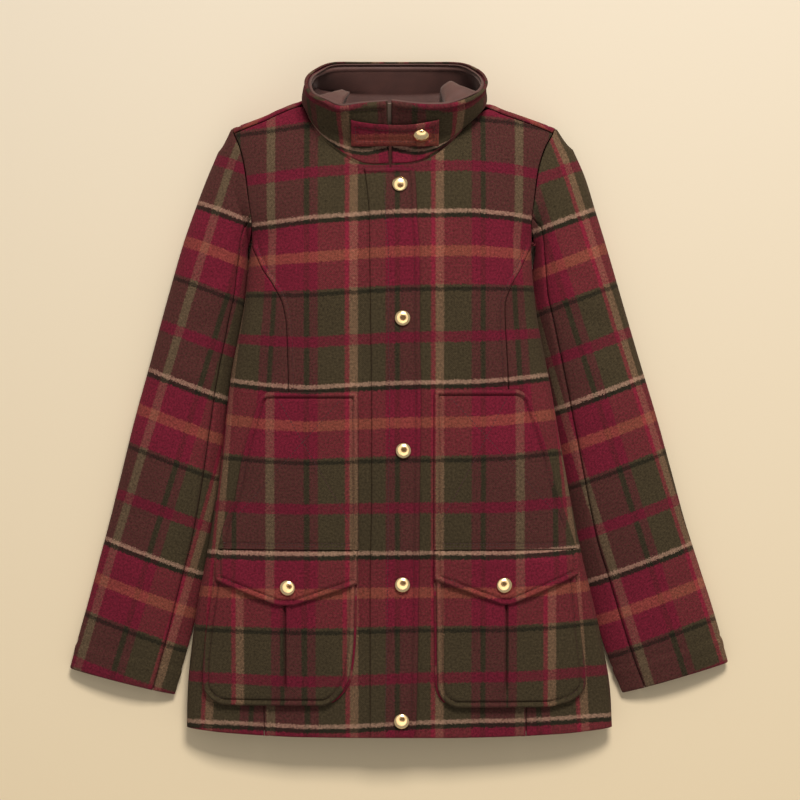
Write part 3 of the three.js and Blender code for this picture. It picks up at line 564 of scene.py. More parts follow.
def rounding(distance):
    """How far a folded edge sinks towards the layer under it"""
    inside = np.clip(1 - distance / EDGE_RADIUS, 0, 1)
    return -EDGE_DROP * (1 - np.sqrt(1 - inside * inside))


def welt(distance):
    """A full edge with the line of stitching that holds it down"""
    full = WELT_RISE * hump(np.clip(distance / STITCH_IN, 0, 1))
    return full - STITCH_DIP * bell((distance - STITCH_IN) / STITCH_SOFT)


def placed(name, data):
    """A new object in the scene"""
    thing = bpy.data.objects.new(name, data)
    bpy.context.scene.collection.objects.link(thing)
    return thing


def made(name, shape, material):
    """An object from a bmesh, which is used up"""
    mesh = bpy.data.meshes.new(name)
    shape.to_mesh(mesh)
    shape.free()
    mesh.materials.append(material)
    return placed(name, mesh)


def cloth(name, points, cut, nodes, rests_on, thickness=CLOTH, slot="plaid_wool", facing=1, relief=0.0,
          stitched=(), edged=("low", "end", "high", "start"), plan=None, pleated=0.0, full=1.0):
    """A cloth piece from a grid of points and their places in the flat cut, both in millimetres"""
    rows, wide = points.shape[:2]
    plan = cut if plan is None else plan
    relief = relief + rounding(way_to(plan, edged)) * full
    if stitched:
        relief = relief + welt(way_to(plan, stitched)) * full
    if facing * surface_side(points) < 0:
        points, cut, relief, plan = (grid[:, ::-1] for grid in (points, cut, relief, plan))
    normals = surface_normals(points)
    points = points + normals * relief[..., None]
    # Neither face of the cloth sinks into the surface under it
    points[..., 2] = np.maximum(points[..., 2], thickness * np.clip(normals[..., 2], 0, 1))
    grid = bmesh.new()
    bmesh.ops.create_grid(grid, x_segments=wide - 1, y_segments=rows - 1, size=1)
    grid.verts.ensure_lookup_table()
    layer = grid.loops.layers.uv.new("cut")
    spots = {}
    for vert in grid.verts:
        spot = round((vert.co.y + 1) / 2 * (rows - 1)), round((vert.co.x + 1) / 2 * (wide - 1))
        spots[vert.index] = spot
        vert.co = Vector((points[spot] + FRAME_SHIFT) * MM)
    for face in grid.faces:
        face.smooth = True
        for loop in face.loops:
            loop[layer].uv = cut[spots[loop.vert.index]] * MM
    piece = made(name, grid, FINISHES[slot])
    wall = piece.modifiers.new("wall", "SOLIDIFY")
    wall.thickness = thickness * MM
    wall.offset = -1
    wall.use_even_offset = False
    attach(piece, "root")
    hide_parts(*nodes)
    low, high = cut.reshape(-1, 2).min(0), cut.reshape(-1, 2).max(0)
    width, length = np.maximum((high - low - [pleated, 0]) * MM, LEAST_FLAT)
    a, b = cut[1:, 1:] - cut[:-1, :-1], cut[:-1, 1:] - cut[1:, :-1]
    area = np.abs(a[..., 0] * b[..., 1] - a[..., 1] * b[..., 0]).sum() / 2 * MM * MM - pleated * MM * length
    area = float(min(max(area, width * length * 0.3), width * length))
    return points, plan


# Topstitching

THREAD_WIDE = 0.85
THREAD_HIGH = 0.3
STITCH_LENGTH = 2.7
STITCH_PITCH = 3.8


def inside_line(plan, sides, distance):
    """A line beside a piece's sides, this far in, in the flat"""
    line = np.concatenate([
        side_line(plan, side)[::-1 if side in ("high", "start") else 1] for side in sides])
    line = line[np.r_[True, np.linalg.norm(np.diff(line, axis=0), axis=1) > 0.2]]
    run = np.gradient(line, axis=0)
    across = unit(np.stack([-run[:, 1], run[:, 0]], -1))
    toward = np.sign(((plan.reshape(-1, 2).mean(0) - line) * across).sum())
    moved = line + across * toward * distance
    return moved[gap_to(moved, line) > distance * 0.97]


def laid(points, plan, spots):
    """Points on a piece's face over these places in its flat"""
    high, wide = plan.shape[:2]
    flat = plan.reshape(-1, 2)
    found = []
    for spot in spots:
        j, i = divmod(int(((flat - spot) ** 2).sum(1).argmin()), wide)
        best, best_out = points[j, i], 1e9
        for dj, di in ((1, 1), (1, -1), (-1, 1), (-1, -1)):
            if not (0 <= j + dj < high and 0 <= i + di < wide):
                continue
            across, up = plan[j, i + di] - plan[j, i], plan[j + dj, i] - plan[j, i]
            cross = across[0] * up[1] - across[1] * up[0]
            if abs(cross) < 1e-9:
                continue
            gap = spot - plan[j, i]
            s = (gap[0] * up[1] - gap[1] * up[0]) / cross
            t = (across[0] * gap[1] - across[1] * gap[0]) / cross
            out = max(-s, 0) + max(-t, 0) + max(s - 1, 0) + max(t - 1, 0)
            if out < best_out:
                s, t = min(max(s, 0), 1), min(max(t, 0), 1)
                low = points[j, i] * (1 - s) + points[j, i + di] * s
                top = points[j + dj, i] * (1 - s) + points[j + dj, i + di] * s
                best, best_out = low * (1 - t) + top * t, out
        found.append(best)
    return np.array(found)


def stitches(name, laid_piece, line):
    """A row of stitches along a line in a piece's flat"""
    total = run_of(np.linalg.norm(np.diff(line, axis=0), axis=1))
    starts = np.arange(0, total[-1] - STITCH_LENGTH, STITCH_PITCH)
    spots = np.stack([starts, starts + STITCH_LENGTH], 1).reshape(-1)
    places = np.stack([np.interp(spots, total, line[:, k]) for k in (0, 1)], -1)
    ends = laid(*laid_piece, places)
    thread = bmesh.new()
    for first, last in zip(ends[::2], ends[1::2]):
        first, last = Vector(first), Vector(last)
        run = last - first
        if run.length < 0.5:
            continue
        aside = run.cross(Vector((0, 0, 1))).normalized() * THREAD_WIDE / 2
        lift = aside.cross(run).normalized() * THREAD_HIGH
        rim = [first, first + run * 0.2 + aside, last - run * 0.2 + aside, last,
               last - run * 0.2 - aside, first + run * 0.2 - aside]
        crest = [first + run * 0.15 + lift, last - run * 0.15 + lift]
        verts = [thread.verts.new((spot + Vector(FRAME_SHIFT)) * MM) for spot in rim + crest]
        for face in ((0, 1, 6), (1, 2, 7, 6), (2, 3, 7), (3, 4, 7), (4, 5, 6, 7), (5, 0, 6)):
            thread.faces.new([verts[k] for k in face])
    bmesh.ops.recalc_face_normals(thread, faces=thread.faces)
    row = made(name, thread, THREAD)
    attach(row, "root")


# Yarns and finishes

def linear(colour):
    """A hex colour as linear red, green and blue"""
    parts = [int(colour[i:i + 2], 16) / 255 for i in (1, 3, 5)]
    return tuple(c / 12.92 if c <= 0.04045 else ((c + 0.055) / 1.055) ** 2.4 for c in parts) + (1.0,)


def connect(tree, node, inputs):
    """Sets a node's sockets to values, or links them to outputs"""
    for socket, value in inputs:
        if isinstance(value, bpy.types.NodeSocket):
            tree.links.new(value, node.inputs[socket])
        else:
            node.inputs[socket].default_value = value


def add(tree, kind, *values, sockets=(), **settings):
    """The outputs of a new node: values or outputs for its first sockets, and others by their names"""
    node = tree.nodes.new("ShaderNode" + kind)
    for key, value in settings.items():
        setattr(node, key, value)
    connect(tree, node, [*enumerate(values), *sockets])
    return node.outputs


def twill_ribs(tree, cut, pitch):
    """A twill's diagonals as a wave"""
    x, y, _ = add(tree, "SeparateXYZ", cut)
    diagonal = add(tree, "Math", x, y, operation="ADD")[0]
    turns = add(tree, "Math", diagonal, 2 * math.pi / pitch, operation="MULTIPLY")[0]
    return add(tree, "Math", turns, operation="SINE")[0]


def finish(name, look):
    """A material from a function that gives its shader's inputs"""
    material = bpy.data.materials.new(name)
    material.use_nodes = True
    tree = material.node_tree
    connect(tree, tree.nodes["Principled BSDF"], look(tree).items())
    return material


CRIMSON = "#6a162b"
CLARET = "#5c1427"
WINE = "#511325"
OLIVE = "#393223"
DARK_OLIVE = "#181911"
TAN = "#7c614c"
TAN_OLIVE = "#675443"
RED = "#7c2234"
RUST = "#863f37"
CREAM = "#957867"

# The plaid, band by band: yarn colour, width in millimetres, and the share of the face that it covers
WARP = [
    (RED, 5), (TAN, 9), (OLIVE, 32), (WINE, 10), (DARK_OLIVE, 6), (WINE, 34.5),
    (TAN_OLIVE, 10), (WINE, 34.5), (DARK_OLIVE, 6), (WINE, 10), (OLIVE, 31),
]
WEFT = [
    (CREAM, 4.2), (DARK_OLIVE, 5.3, 0.85), (CRIMSON, 32), (RUST, 11.5), (CRIMSON, 32), (OLIVE, 3.5, 0.5),
    (DARK_OLIVE, 4.5, 0.8), (OLIVE, 45, 0.5), (CLARET, 12.5, 0.76), (OLIVE, 43.2, 0.5),
]
WEFT_COVER = 0.64
WOOL_PITCH = 0.0021
FACING_PITCH = 0.0014
WARP_START = -61.3
WEFT_START = 215.5
FRONT_SHIFT = {"right": 0, "left": 36.4 - WARP_START}

# How far the side fronts' plaid is off the centre fronts', at a height and for each mm above it
SIDE_FRONT_SHIFT = 42
SIDE_FRONT_SHIFT_Y = 40
SIDE_FRONT_LEAN = 0.055

# How far the plaid's rows rise above their place at the centre front, at nine places across
ROW_PLACES = (-200, -150, -104, -55, 0, 85, 125, 170, 215)
ROW_RISE = table("y a b c d e f g h i", [
    (-365, -3, -5, -7, -6.5, -2.5, 0, 0, 1.5, 4),
    (-169, 0, -1, -1, -0.5, 0, 0, 0, 2.5, 6),
    (21, 4, -2.5, -5.5, -2.5, 0, 1.4, 4, 9.5, 11),
    (120, -5, -6, -6, -3, 0, 1.5, 1.5, 2, 3),
    (215, -16, -12, -6.5, -3.5, 0, 1.5, -1.5, -8, -10),
    (320, -16, -12, -6.5, -3.5, 0, 1.5, -1.5, -8, -10),
])
row_readers = [column(ROW_RISE, "y", place) for place in "abcdefghi"]


def row_rise(x, y):
    rises = np.stack([read(y) for read in row_readers])
    return between(rises, np.interp(x, ROW_PLACES, np.arange(len(ROW_PLACES))))


def bands(tree, where, yarns):
    """One set of yarns as a ramp with hard steps over the repeat: its colour and its cover"""
    total = sum(yarn[1] for yarn in yarns)
    outputs = add(tree, "ValToRGB", where)
    ramp = outputs[0].node.color_ramp
    ramp.interpolation = "CONSTANT"
    at = 0
    for i, (colour, width, *cover) in enumerate(yarns):
        stop = ramp.elements[i] if i < 2 else ramp.elements.new(at / total)
        stop.position = at / total
        stop.color = linear(colour)[:3] + (cover[0] if cover else WEFT_COVER,)
        at += width
    return outputs


def wool_plaid(tree):
    """Brushed wool twill: soft and matt, with two-ply yarns that show as fine diagonals and flecks"""
    cut = add(tree, "UVMap", uv_map="cut")[0]
    fuzz = add(tree, "TexNoise", cut, sockets=[("Scale", 900), ("Detail", 2)])["Color"]
    shaky = add(tree, "VectorMath", fuzz, (0.5, 0.5, 0.5), operation="SUBTRACT")[0]
    shift = add(tree, "VectorMath", shaky, sockets=[("Scale", 0.007)], operation="SCALE")[0]
    parts = add(tree, "SeparateXYZ", add(tree, "VectorMath", cut, shift, operation="ADD")[0])
    sets = []
    for axis, yarns, start, way in ((0, WARP, WARP_START, 1), (1, WEFT, WEFT_START, -1)):
        total = sum(yarn[1] for yarn in yarns) * MM
        from_start = add(tree, "Math", parts[axis], start * MM, operation="SUBTRACT")[0]
        repeats = add(tree, "Math", from_start, way / total, operation="MULTIPLY")[0]
        sets.append(bands(tree, add(tree, "Math", repeats, operation="FRACT")[0], yarns))
    (warp, _), (weft, cover) = sets
    # The diagonals are a yarn and a half apart, drawn a little coarse so that they show
    wave = twill_ribs(tree, cut, WOOL_PITCH)
    flecks = add(tree, "TexNoise", cut, sockets=[("Scale", 620), ("Detail", 3), ("Roughness", 0.7)])[0]
    turn = add(tree, "Math", wave, 0.12, cover, operation="MULTIPLY_ADD")[0]
    fleck = add(tree, "Math", flecks, 1.5, -0.75, operation="MULTIPLY_ADD")[0]
    weave = add(tree, "Math", turn, fleck, operation="ADD", use_clamp=True)[0]
    woven = add(tree, "Mix", weave, sockets=[(6, warp), (7, weft)], data_type="RGBA")[2]
    # Lighter and darker fibres brushed over the face
    melange = add(tree, "TexNoise", cut, sockets=[("Scale", 380), ("Detail", 4), ("Roughness", 0.8)])[0]
    tone = add(tree, "MapRange", melange, 0.3, 0.7, 0.4, 1.66)[0]
    worn = add(tree, "TexNoise", cut, sockets=[("Scale", 14), ("Detail", 2)])[0]
    broad = add(tree, "MapRange", worn, 0.3, 0.7, 0.94, 1.07)[0]
    both = add(tree, "Math", tone, broad, operation="MULTIPLY")[0]
    brushed = add(tree, "VectorMath", woven, sockets=[("Scale", both)], operation="SCALE")[0]
    height = add(tree, "Math", wave, 0.25, flecks, operation="MULTIPLY_ADD")[0]
    bump = add(tree, "Bump", sockets=[("Height", height), ("Distance", 0.0005), ("Strength", 0.55)])[0]
    return {"Base Color": brushed, "Normal": bump, "Roughness": 0.95, "Specular IOR Level": 0.12,
            "Sheen Weight": 0.07, "Sheen Roughness": 0.6, "Sheen Tint": linear("#c08a80")}


def facing_twill(tree):
    """Fine polyester twill facing: smooth, brown, a little glossier than the wool"""
    cut = add(tree, "UVMap", uv_map="cut")[0]
    mottle = add(tree, "TexNoise", cut, sockets=[("Scale", 60), ("Detail", 3)])[0]
    browns = [(6, linear("#3c2321")), (7, linear("#57342f"))]
    tone = add(tree, "Mix", mottle, sockets=browns, data_type="RGBA")[2]
    ribs = twill_ribs(tree, cut, FACING_PITCH)
    bump = add(tree, "Bump", sockets=[("Height", ribs), ("Distance", 0.00015), ("Strength", 0.4)])[0]
    return {"Base Color": tone, "Normal": bump, "Roughness": 0.62, "Sheen Weight": 0.1}


def gold_plate(tree):
    """Polished, pale gold plating on pressed brass, with fine handling marks"""
    place = add(tree, "TexCoord")["Object"]
    marks = add(tree, "TexNoise", place, sockets=[("Scale", 900), ("Detail", 4)])[0]
    rough = add(tree, "MapRange", marks, 0.3, 0.7, 0.16, 0.26)[0]
    return {"Roughness": rough, "Base Color": linear("#f4dcae"), "Metallic": 1}


def zip_tape_weave(tree):
    """Woven polyester zip tape, grey-brown"""
    place = add(tree, "TexCoord")["Object"]
    threads = add(tree, "TexWave", place, sockets=[("Scale", 400), ("Distortion", 1)])[0]
    greys = [(6, linear("#5d4c42")), (7, linear("#8a776a"))]
    return {"Base Color": add(tree, "Mix", threads, sockets=greys, data_type="RGBA")[2], "Roughness": 0.7}


def topstitch_thread(tree):
    """Spun polyester topstitching thread, wine brown, two-ply"""
    place = add(tree, "TexCoord")["Object"]
    plies = add(tree, "TexNoise", place, sockets=[("Scale", 1500), ("Detail", 2)])[0]
    wines = [(6, linear("#1f0c10")), (7, linear("#41181f"))]
    return {"Base Color": add(tree, "Mix", plies, sockets=wines, data_type="RGBA")[2], "Roughness": 0.6}


FINISHES = {
    "plaid_wool": finish("brushed_wool_twill_plaid", wool_plaid),
    "lining": finish("brown_twill_facing", facing_twill),
    "snap_gold": finish("polished_gold_plate", gold_plate),
}
TAPE = finish("zip_tape_weave", zip_tape_weave)
THREAD = finish("wine_topstitch_thread", topstitch_thread)


# Panels

STEP = 5.0
ARC_TICKS = 160


def grid_of(us, vs):
    return np.meshgrid(np.asarray(us, float), np.asarray(vs, float))


def at_height(rows, y, *names):
    """These columns of a table at a height"""
    return [column(rows, "y", name)(y) for name in names]


def front_arc(points, outward):
    """Places across the cut of what lies on the front: the way round from the coat's middle"""
    y = points[..., 1]
    reach = np.where(outward < 0, -right_edge(y), left_edge(y)) + 0.5
    xs = outward * np.linspace(0, 1, ARC_TICKS)[:, None, None] * reach
    way = run_of(np.hypot(np.diff(xs, axis=0), np.diff(front_height(xs, y), axis=0)))
    share = np.clip(points[..., 0] * outward / reach, 0, 1) * (ARC_TICKS - 1)
    return outward * between(way, share)


def on_front_plan(points):
    """The flat places of points on the front: the way round from the coat's middle, and up"""
    across = np.where(points[..., 0] < 0, front_arc(points, -1), front_arc(points, 1))
    return np.stack([across, points[..., 1]], -1)


def front_piece(name, node, points, shift, under, **how):
    """A cloth piece on the front, where the plaid's rows bend up or down towards the sides"""
    plan = on_front_plan(points)
    rise = row_rise(points[..., 0], points[..., 1])
    cut = np.stack([plan[..., 0] - shift, plan[..., 1] - rise], -1)
    return cloth(name, points, cut, [node], under, plan=plan, **how)


def front_row(name, face, x, y):
    """A row of stitches on a piece of the front, over these places"""
    stitches(name, face, on_front_plan(on_front(x, y)[None])[0])


# Soft folds: from and to, half width and height (a trough is below 0)
FOLDS = table("x0 y0 x1 y1 width height", [
    (-178, 150, -120, 215, 9, -1.3),
    (-168, 120, -120, 70, 14, -1.0),
    (160, 150, 112, 210, 9, -1.3),
    (150, 110, 105, 60, 14, -1.0),
    (-95, 190, -70, 40, 16, 0.9),
    (85, 200, 70, 40, 16, 0.9),
    (-60, 230, -95, 262, 8, -0.9),
    (52, 232, 88, 262, 8, -0.9),
    (-185, -40, -150, 40, 12, -1.2),
    (165, -20, 140, 50, 12, -1.2),
    (-70, -120, -75, -20, 18, 0.8),
    (70, -110, 78, 0, 18, 0.8),
    (-120, -372, -118, -395, 16, 1.1),
    (60, -366, 62, -395, 22, 1.2),
    (190, -366, 196, -395, 16, 1.2),
    (-205, -366, -205, -395, 14, 1.0),
])
SLEEVE_FOLDS = table("x0 y0 x1 y1 width height", [
    (-197, 215, -238, 165, 9, -1.6),
    (-190, 150, -240, 130, 8, -1.3),
    (-196, 92, -262, 78, 9, -1.5),
    (-200, 40, -252, 52, 8, -1.7),
    (-208, 8, -268, 22, 7, -1.3),
    (-216, -40, -300, -20, 9, -1.2),
    (-240, -140, -318, -128, 10, -1.1),
    (-258, -232, -352, -206, 11, -1.3),
    (-225, 190, -262, 60, 15, 1.2),
    (-270, 30, -318, -120, 15, 1.1),
    (-318, -150, -352, -262, 14, 1.0),
    (182, 215, 226, 160, 9, -1.6),
    (176, 150, 226, 132, 8, -1.3),
    (182, 100, 250, 84, 9, -1.5),
    (186, 46, 240, 60, 8, -1.7),
    (196, 10, 252, 26, 7, -1.3),
    (206, -44, 288, -22, 9, -1.2),
    (228, -140, 306, -124, 10, -1.1),
    (250, -236, 348, -206, 11, -1.3),
    (212, 190, 252, 60, 15, 1.2),
    (258, 30, 310, -120, 15, 1.1),
    (312, -150, 352, -262, 14, 1.0),
])


def folded(folds, points):
    """The height of all folds over these points"""
    total = np.zeros(points.shape[:-1])
    for x0, y0, x1, y1, width, height in zip(*folds.values()):
        run = np.array([x1 - x0, y1 - y0])
        share = ((points[..., 0] - x0) * run[0] + (points[..., 1] - y0) * run[1]) / (run @ run)
        near = np.clip(share, 0, 1)
        gap = np.hypot(points[..., 0] - x0 - near * run[0], points[..., 1] - y0 - near * run[1])
        fade = 0.35 + 0.65 * hump(np.clip(near, 0.04, 0.96))
        total += height * fade * bell(gap / width)
    return total


def centre_front(side):
    outward = SIDES[side]
    seam = front_seam[side]
    zip_x = CENTRE_X + outward * SEAM_GAP
    top_seam_x = seam(SHOULDER_TIP_Y)
    width = abs(top_seam_x - zip_x)
    neck_share = (NECK_ENDS[side] - zip_x) / (top_seam_x - zip_x)
    inner = spaced(width * neck_share, STEP)[:-5] * neck_share
    outer = neck_share + spaced(width * (1 - neck_share), STEP)[5:] * (1 - neck_share)
    low_rows = lerp(HEM_Y, UNDERARM_Y, spaced(UNDERARM_Y - HEM_Y, STEP)[:-4])
    chest_rows = lerp(UNDERARM_Y, SHOULDER_TIP_Y, spaced(SHOULDER_TIP_Y - UNDERARM_Y, STEP)[4:])
    u, row = grid_of([*inner, neck_share, *outer], [*low_rows, *chest_rows])
    x = lerp(zip_x, seam(row) - outward * SEAM_GAP * 0.5, u)
    chest = np.clip((row - UNDERARM_Y) / (SHOULDER_TIP_Y - UNDERARM_Y), 0, 1)
    below = row <= UNDERARM_Y
    y = np.where(below, body_row(x, row), lerp(UNDERARM_Y, front_top(lerp(zip_x, top_seam_x, u)), chest))
    points = on_front(x, y)
    relief = folded(FOLDS, points) + np.where(below, welt(np.abs(seam(row) - x)) * 0.7, 0)
    face = front_piece(f"centre_front_{side}", f"front_{side}", points, FRONT_SHIFT[side], ["back_panel"],
                       relief=relief)
    row_y = np.linspace(POCKETS[side]["upper"]["y"][-1] + 4, UNDERARM_Y - 6, 60)
    front_row(f"princess_stitching_{side}", face, seam(row_y) - outward * STITCH_IN * 0.9, row_y)


def side_front(side):
    outward = SIDES[side]
    edge = right_edge if side == "right" else left_edge
    vs = lerp(HEM_Y, SIDE_FRONT_TOP, spaced(SIDE_FRONT_TOP - HEM_Y, STEP))
    u, row = grid_of(spaced(SIDE_FRONT_WIDTH, STEP), vs)
    start = front_seam[side](row) + outward * SEAM_GAP * 0.5
    x = lerp(start, edge(row), np.sin(u * math.pi / 2))
    points = on_front(x, body_row(x, row))
    lean = SIDE_FRONT_SHIFT + (points[..., 1] - SIDE_FRONT_SHIFT_Y) * SIDE_FRONT_LEAN
    front_piece(f"side_front_panel_{side}", f"side_front_{side}", points, FRONT_SHIFT[side] - outward * lean,
                ["back_panel"], relief=folded(FOLDS, points))


def back_panel():
    roll = (1 - np.cos(np.linspace(0, 1, 12) * math.pi / 2)) * ROLL_SHARE
    us = [*roll[:-1], *np.linspace(ROLL_SHARE, 1 - ROLL_SHARE, 56), *(1 - roll[:-1])[::-1]]
    low_rows = lerp(HEM_Y, UNDERARM_Y, spaced(UNDERARM_Y - HEM_Y, 9)[:-4])
    ways = [*np.linspace(0, SHOULDER_TURN, 24)[1:], *np.linspace(SHOULDER_TURN, 1, 16)[1:]]
    u, row = grid_of(us, [*low_rows, UNDERARM_Y] + [UNDERARM_Y] * len(ways))
    _, way = grid_of(us, [0] * (len(low_rows) + 1) + ways)
    x = lerp(right_edge(row), left_edge(row), u)
    points = back_point(u, way, body_row(x, row))
    middle = len(us) // 2
    across = run_of(np.hypot(*np.diff(points[..., ::2], axis=1).T).T, 1)
    across += points[:, middle:middle + 1, 0] - across[:, middle:middle + 1]
    along = points[0, :, 1] + run_of(np.hypot(*np.diff(points[..., 1:], axis=0).T).T)
    cloth("back_panel", points, np.stack([across, along], -1), ["back"], ["floor"], BACK_CLOTH, facing=-1)


# The sleeves' plaid: the way its stripes and its rows run, where a row crosses, and the phase of its stripes
SLEEVE_PLAID = {
    "right": {"stripes": (-0.295, -0.955), "rows": (-0.35, -0.937), "origin": (-199, 218.5), "phase": 51.2},
    "left": {"stripes": (0.31, -0.951), "rows": (0.35, -0.937), "origin": (186, 208), "phase": -80},
}
SLEEVE_ROW_SCALE = 0.965


def sleeve(side):
    outward = SIDES[side]
    seam_turn = math.acos(1 - 2 * FRONT_SLEEVE_SEAM)
    rings = [0, 0.02, 0.06, 0.14, *np.linspace(0.25, 12.94, 150), 12.97, 12.985, 13]
    plaid = SLEEVE_PLAID[side]
    stripes, rows = (unit(np.array(plaid[way])) for way in ("stripes", "rows"))
    out = np.array([outward * abs(stripes[1]), abs(stripes[0])])
    parts = (("upper", -seam_turn, seam_turn, 76), ("under", seam_turn, 2 * math.pi - seam_turn, 40))
    for part, start, end, count in parts:
        turns = np.linspace(start + SLEEVE_SEAM_TURN, end - SLEEVE_SEAM_TURN, count)
        turn, ring = grid_of(turns, rings)
        points = sleeve_point(side, turn, ring)
        spots = points[..., :2] - plaid["origin"]
        away = spots @ out
        total = run_of(np.hypot(np.diff(away, axis=1), np.diff(points[..., 2], axis=1)), 1)
        mark = int(np.argmin(np.abs(turns - math.pi / 2))) if part == "upper" else 0
        across = outward * (total[:, mark:mark + 1] - total + away[:, mark:mark + 1])
        cut = np.stack([across + plaid["phase"], WEFT_START - spots @ rows * SLEEVE_ROW_SCALE], -1)
        up = np.clip(np.sin(turn), 0, 1) ** 0.5 if part == "upper" else 0.6
        hem = np.linalg.norm(points - points[-1:], axis=-1)
        relief = folded(SLEEVE_FOLDS, points) * up * ease(ring - 0.4)
        relief = relief + welt((hem - CUFF_STITCH) / 2.2) * (hem < CUFF_HEM) * 0.5
        cloth(f"sleeve_{part}_panel_{side}", points, cut, [f"sleeve_{part}_{side}"], ["floor"],
              facing=facing_out(points, points.mean(axis=1, keepdims=True)), relief=relief)


# The collar's two halves: the phase of their stripes at the centre front, how high their pale row
# lies there, how it falls towards the sides, and its least height
COLLAR_STRIPES = {"right": 58, "left": -70}
COLLAR_ROW = 27
COLLAR_ROW_FALL = 0.24
COLLAR_ROW_LOW = 6
COLLAR_ROUND = 430
COLLAR_RISE = 76
COLLAR_STEP, COLLAR_STEP_UP = 3.2, 2.4

# The tops of the two front facings, which stand inside the collar: how far round, how wide and how deep
FACING_FOLDS = ((0.138, 0.032, 36), (0.86, 0.042, 38))
FACING_TOP = 0.985
def strip_cut(points):
    """A curved strip's cut, from its own lengths round and up, counted from the centre front"""
    across = run_of(np.linalg.norm(np.diff(points, axis=1), axis=-1), 1)
    along = run_of(np.linalg.norm(np.diff(points, axis=0), axis=-1).mean(1))[:, None]
    return np.stack([across, along + across * 0], -1)


def collar():
    for side, start in (("right", 0), ("left", 1)):
        rounds = np.append(lerp(start, 0.5, spaced(COLLAR_ROUND / 2, COLLAR_STEP)[:-7]), 0.5)
        round_, up = grid_of(rounds, spaced(COLLAR_RISE, COLLAR_STEP_UP))
        points = collar_point(round_, up)
        plan = strip_cut(points)
        stripes = COLLAR_STRIPES[side] + SIDES[side] * plan[..., 0]
        pale = np.maximum(COLLAR_ROW - COLLAR_ROW_FALL * plan[..., 0], COLLAR_ROW_LOW)
        cut = np.stack([stripes + WARP_START, plan[..., 1] - pale + WEFT_START], -1)
        soft = np.sin(round_ * 31) * hump(up) + np.sin(round_ * 67 + 1) * up * (1 - up)
        fold_line = -1.1 * bell((up - 0.36) / 0.07) * bell(plan[..., 0] / 60)
        face = cloth(f"collar_plaid_{side}", points, cut, ["collar"], ["back_panel"],
                     facing=facing_out(points, COLLAR_HOLLOW), relief=1.6 * soft + fold_line,
                     stitched=("high", "start"), edged=("low", "high", "start"), plan=plan)
        ways = np.linspace(STITCH_IN, COLLAR_ROUND / 2 - 8, 200)
        stitches(f"collar_stitching_{side}", face,
                 np.stack([ways, np.full(200, plan[-1, 0, 1] - STITCH_IN)], -1))


def collar_facing():
    """The facing inside the collar, with the tops of the front facings standing out of it"""
    round_, up = grid_of(spaced(COLLAR_ROUND, COLLAR_STEP), spaced(COLLAR_RISE, COLLAR_STEP_UP))
    rise = lerp(0.06, FACING_TOP, up)
    flat = collar_inside(round_, rise, np.full(up.shape, CLOTH + LINING_GAP))
    deep = np.full(up.shape, CLOTH + LINING_GAP + LINING_CLOTH)
    for at, wide, height in FACING_FOLDS:
        ridge = np.exp(-np.abs((round_ - at) / wide) ** 6)
        deep = deep + height * ridge * ease((FACING_TOP - up) / 0.22) * ease(up / 0.25)
    slack = 2.6 * np.sin(round_ * 19 + 1) * hump(up)
    slack += 4.8 * np.sin(round_ * 43 + up * 3) * up * (1 - up)
    inner = collar_inside(round_, rise, deep + np.maximum(slack, -0.2))
    cloth("collar_facing", inner, strip_cut(flat), ["collar_lining"],
          ["collar_plaid_right", "collar_plaid_left"], LINING_CLOTH, "lining",
          facing=-facing_out(flat, COLLAR_HOLLOW), stitched=("high",), edged=("low", "high"))


def placket():
    low, top = PLACKET["y"][0], PLACKET["y"][-1]
    u, v = grid_of(spaced(PLACKET_WIDTH, 3), spaced(top - low, STEP))
    y = lerp(low, top, v)
    points = on_front(lerp(*at_height(PLACKET, y, "seam", "free"), u), y, LAY_GAP + PLACKET_CLOTH)
    relief = 0.5 * np.sin(y / 31) * u + 0.35 * np.sin(y / 13 + 2) * u
    for _, snap_y in PLACKET_SNAPS:
        relief -= 0.8 * bell((y - snap_y) / 16) * hump(u)
    face = front_piece("storm_placket_fly", "storm_placket", points, 0,
                       ["centre_front_right", "centre_front_left"], thickness=PLACKET_CLOTH, relief=relief,
                       stitched=("end", "high"))
    row_y = np.linspace(low + 8, top - STITCH_IN, 120)
    for inset, name in ((STITCH_IN, "edge"), (PLACKET_INNER, "inner")):
        front_row(f"placket_stitching_{name}", face, column(PLACKET, "y", "free")(row_y) - inset, row_y)


def pocket_puff(x, y, pocket):
    rows = pocket["lower"]
    outer, inner = at_height(rows, y, "outer", "inner")
    across = np.clip((x - inner) / (outer - inner), 0, 1)
    up = np.clip((y - rows["y"][0]) / (rows["y"][-1] - rows["y"][0]), 0, 1)
    return POCKET_PUFF * hump(across) ** 0.7 * hump(lerp(0.12, 0.75, up)) ** 0.7


def flap_lift(x, y, pocket):
    ramp = ease((FLAP_TOP_Y - y) / FLAP_RAMP)
    return lerp(LAY_GAP, FLAP_LIFT + pocket_puff(x, y, pocket), ramp)


def flap_edge(x, flap):
    inner = np.clip((x - flap["inner"]) / (flap["point_to"] - flap["inner"]), 0, 1)
    outer = np.clip((x - flap["outer"]) / (flap["point_from"] - flap["outer"]), 0, 1)
    inner_edge = lerp(flap["inner_drop"], flap["point"], inner)
    return np.maximum(inner_edge, lerp(flap["outer_drop"], flap["point"], outer))


PLEAT_SLIT = 1.35
PLEAT_SLIT_DEPTH = 6.4
PLEAT_CLOSE = 18
PLEAT_CLOTH = {"right": (-3, 57), "left": (0, -59)}
DOUBLE_STITCH = (3.4, 6.8)
POCKET_FULL = 1.7
FINE = 2.2

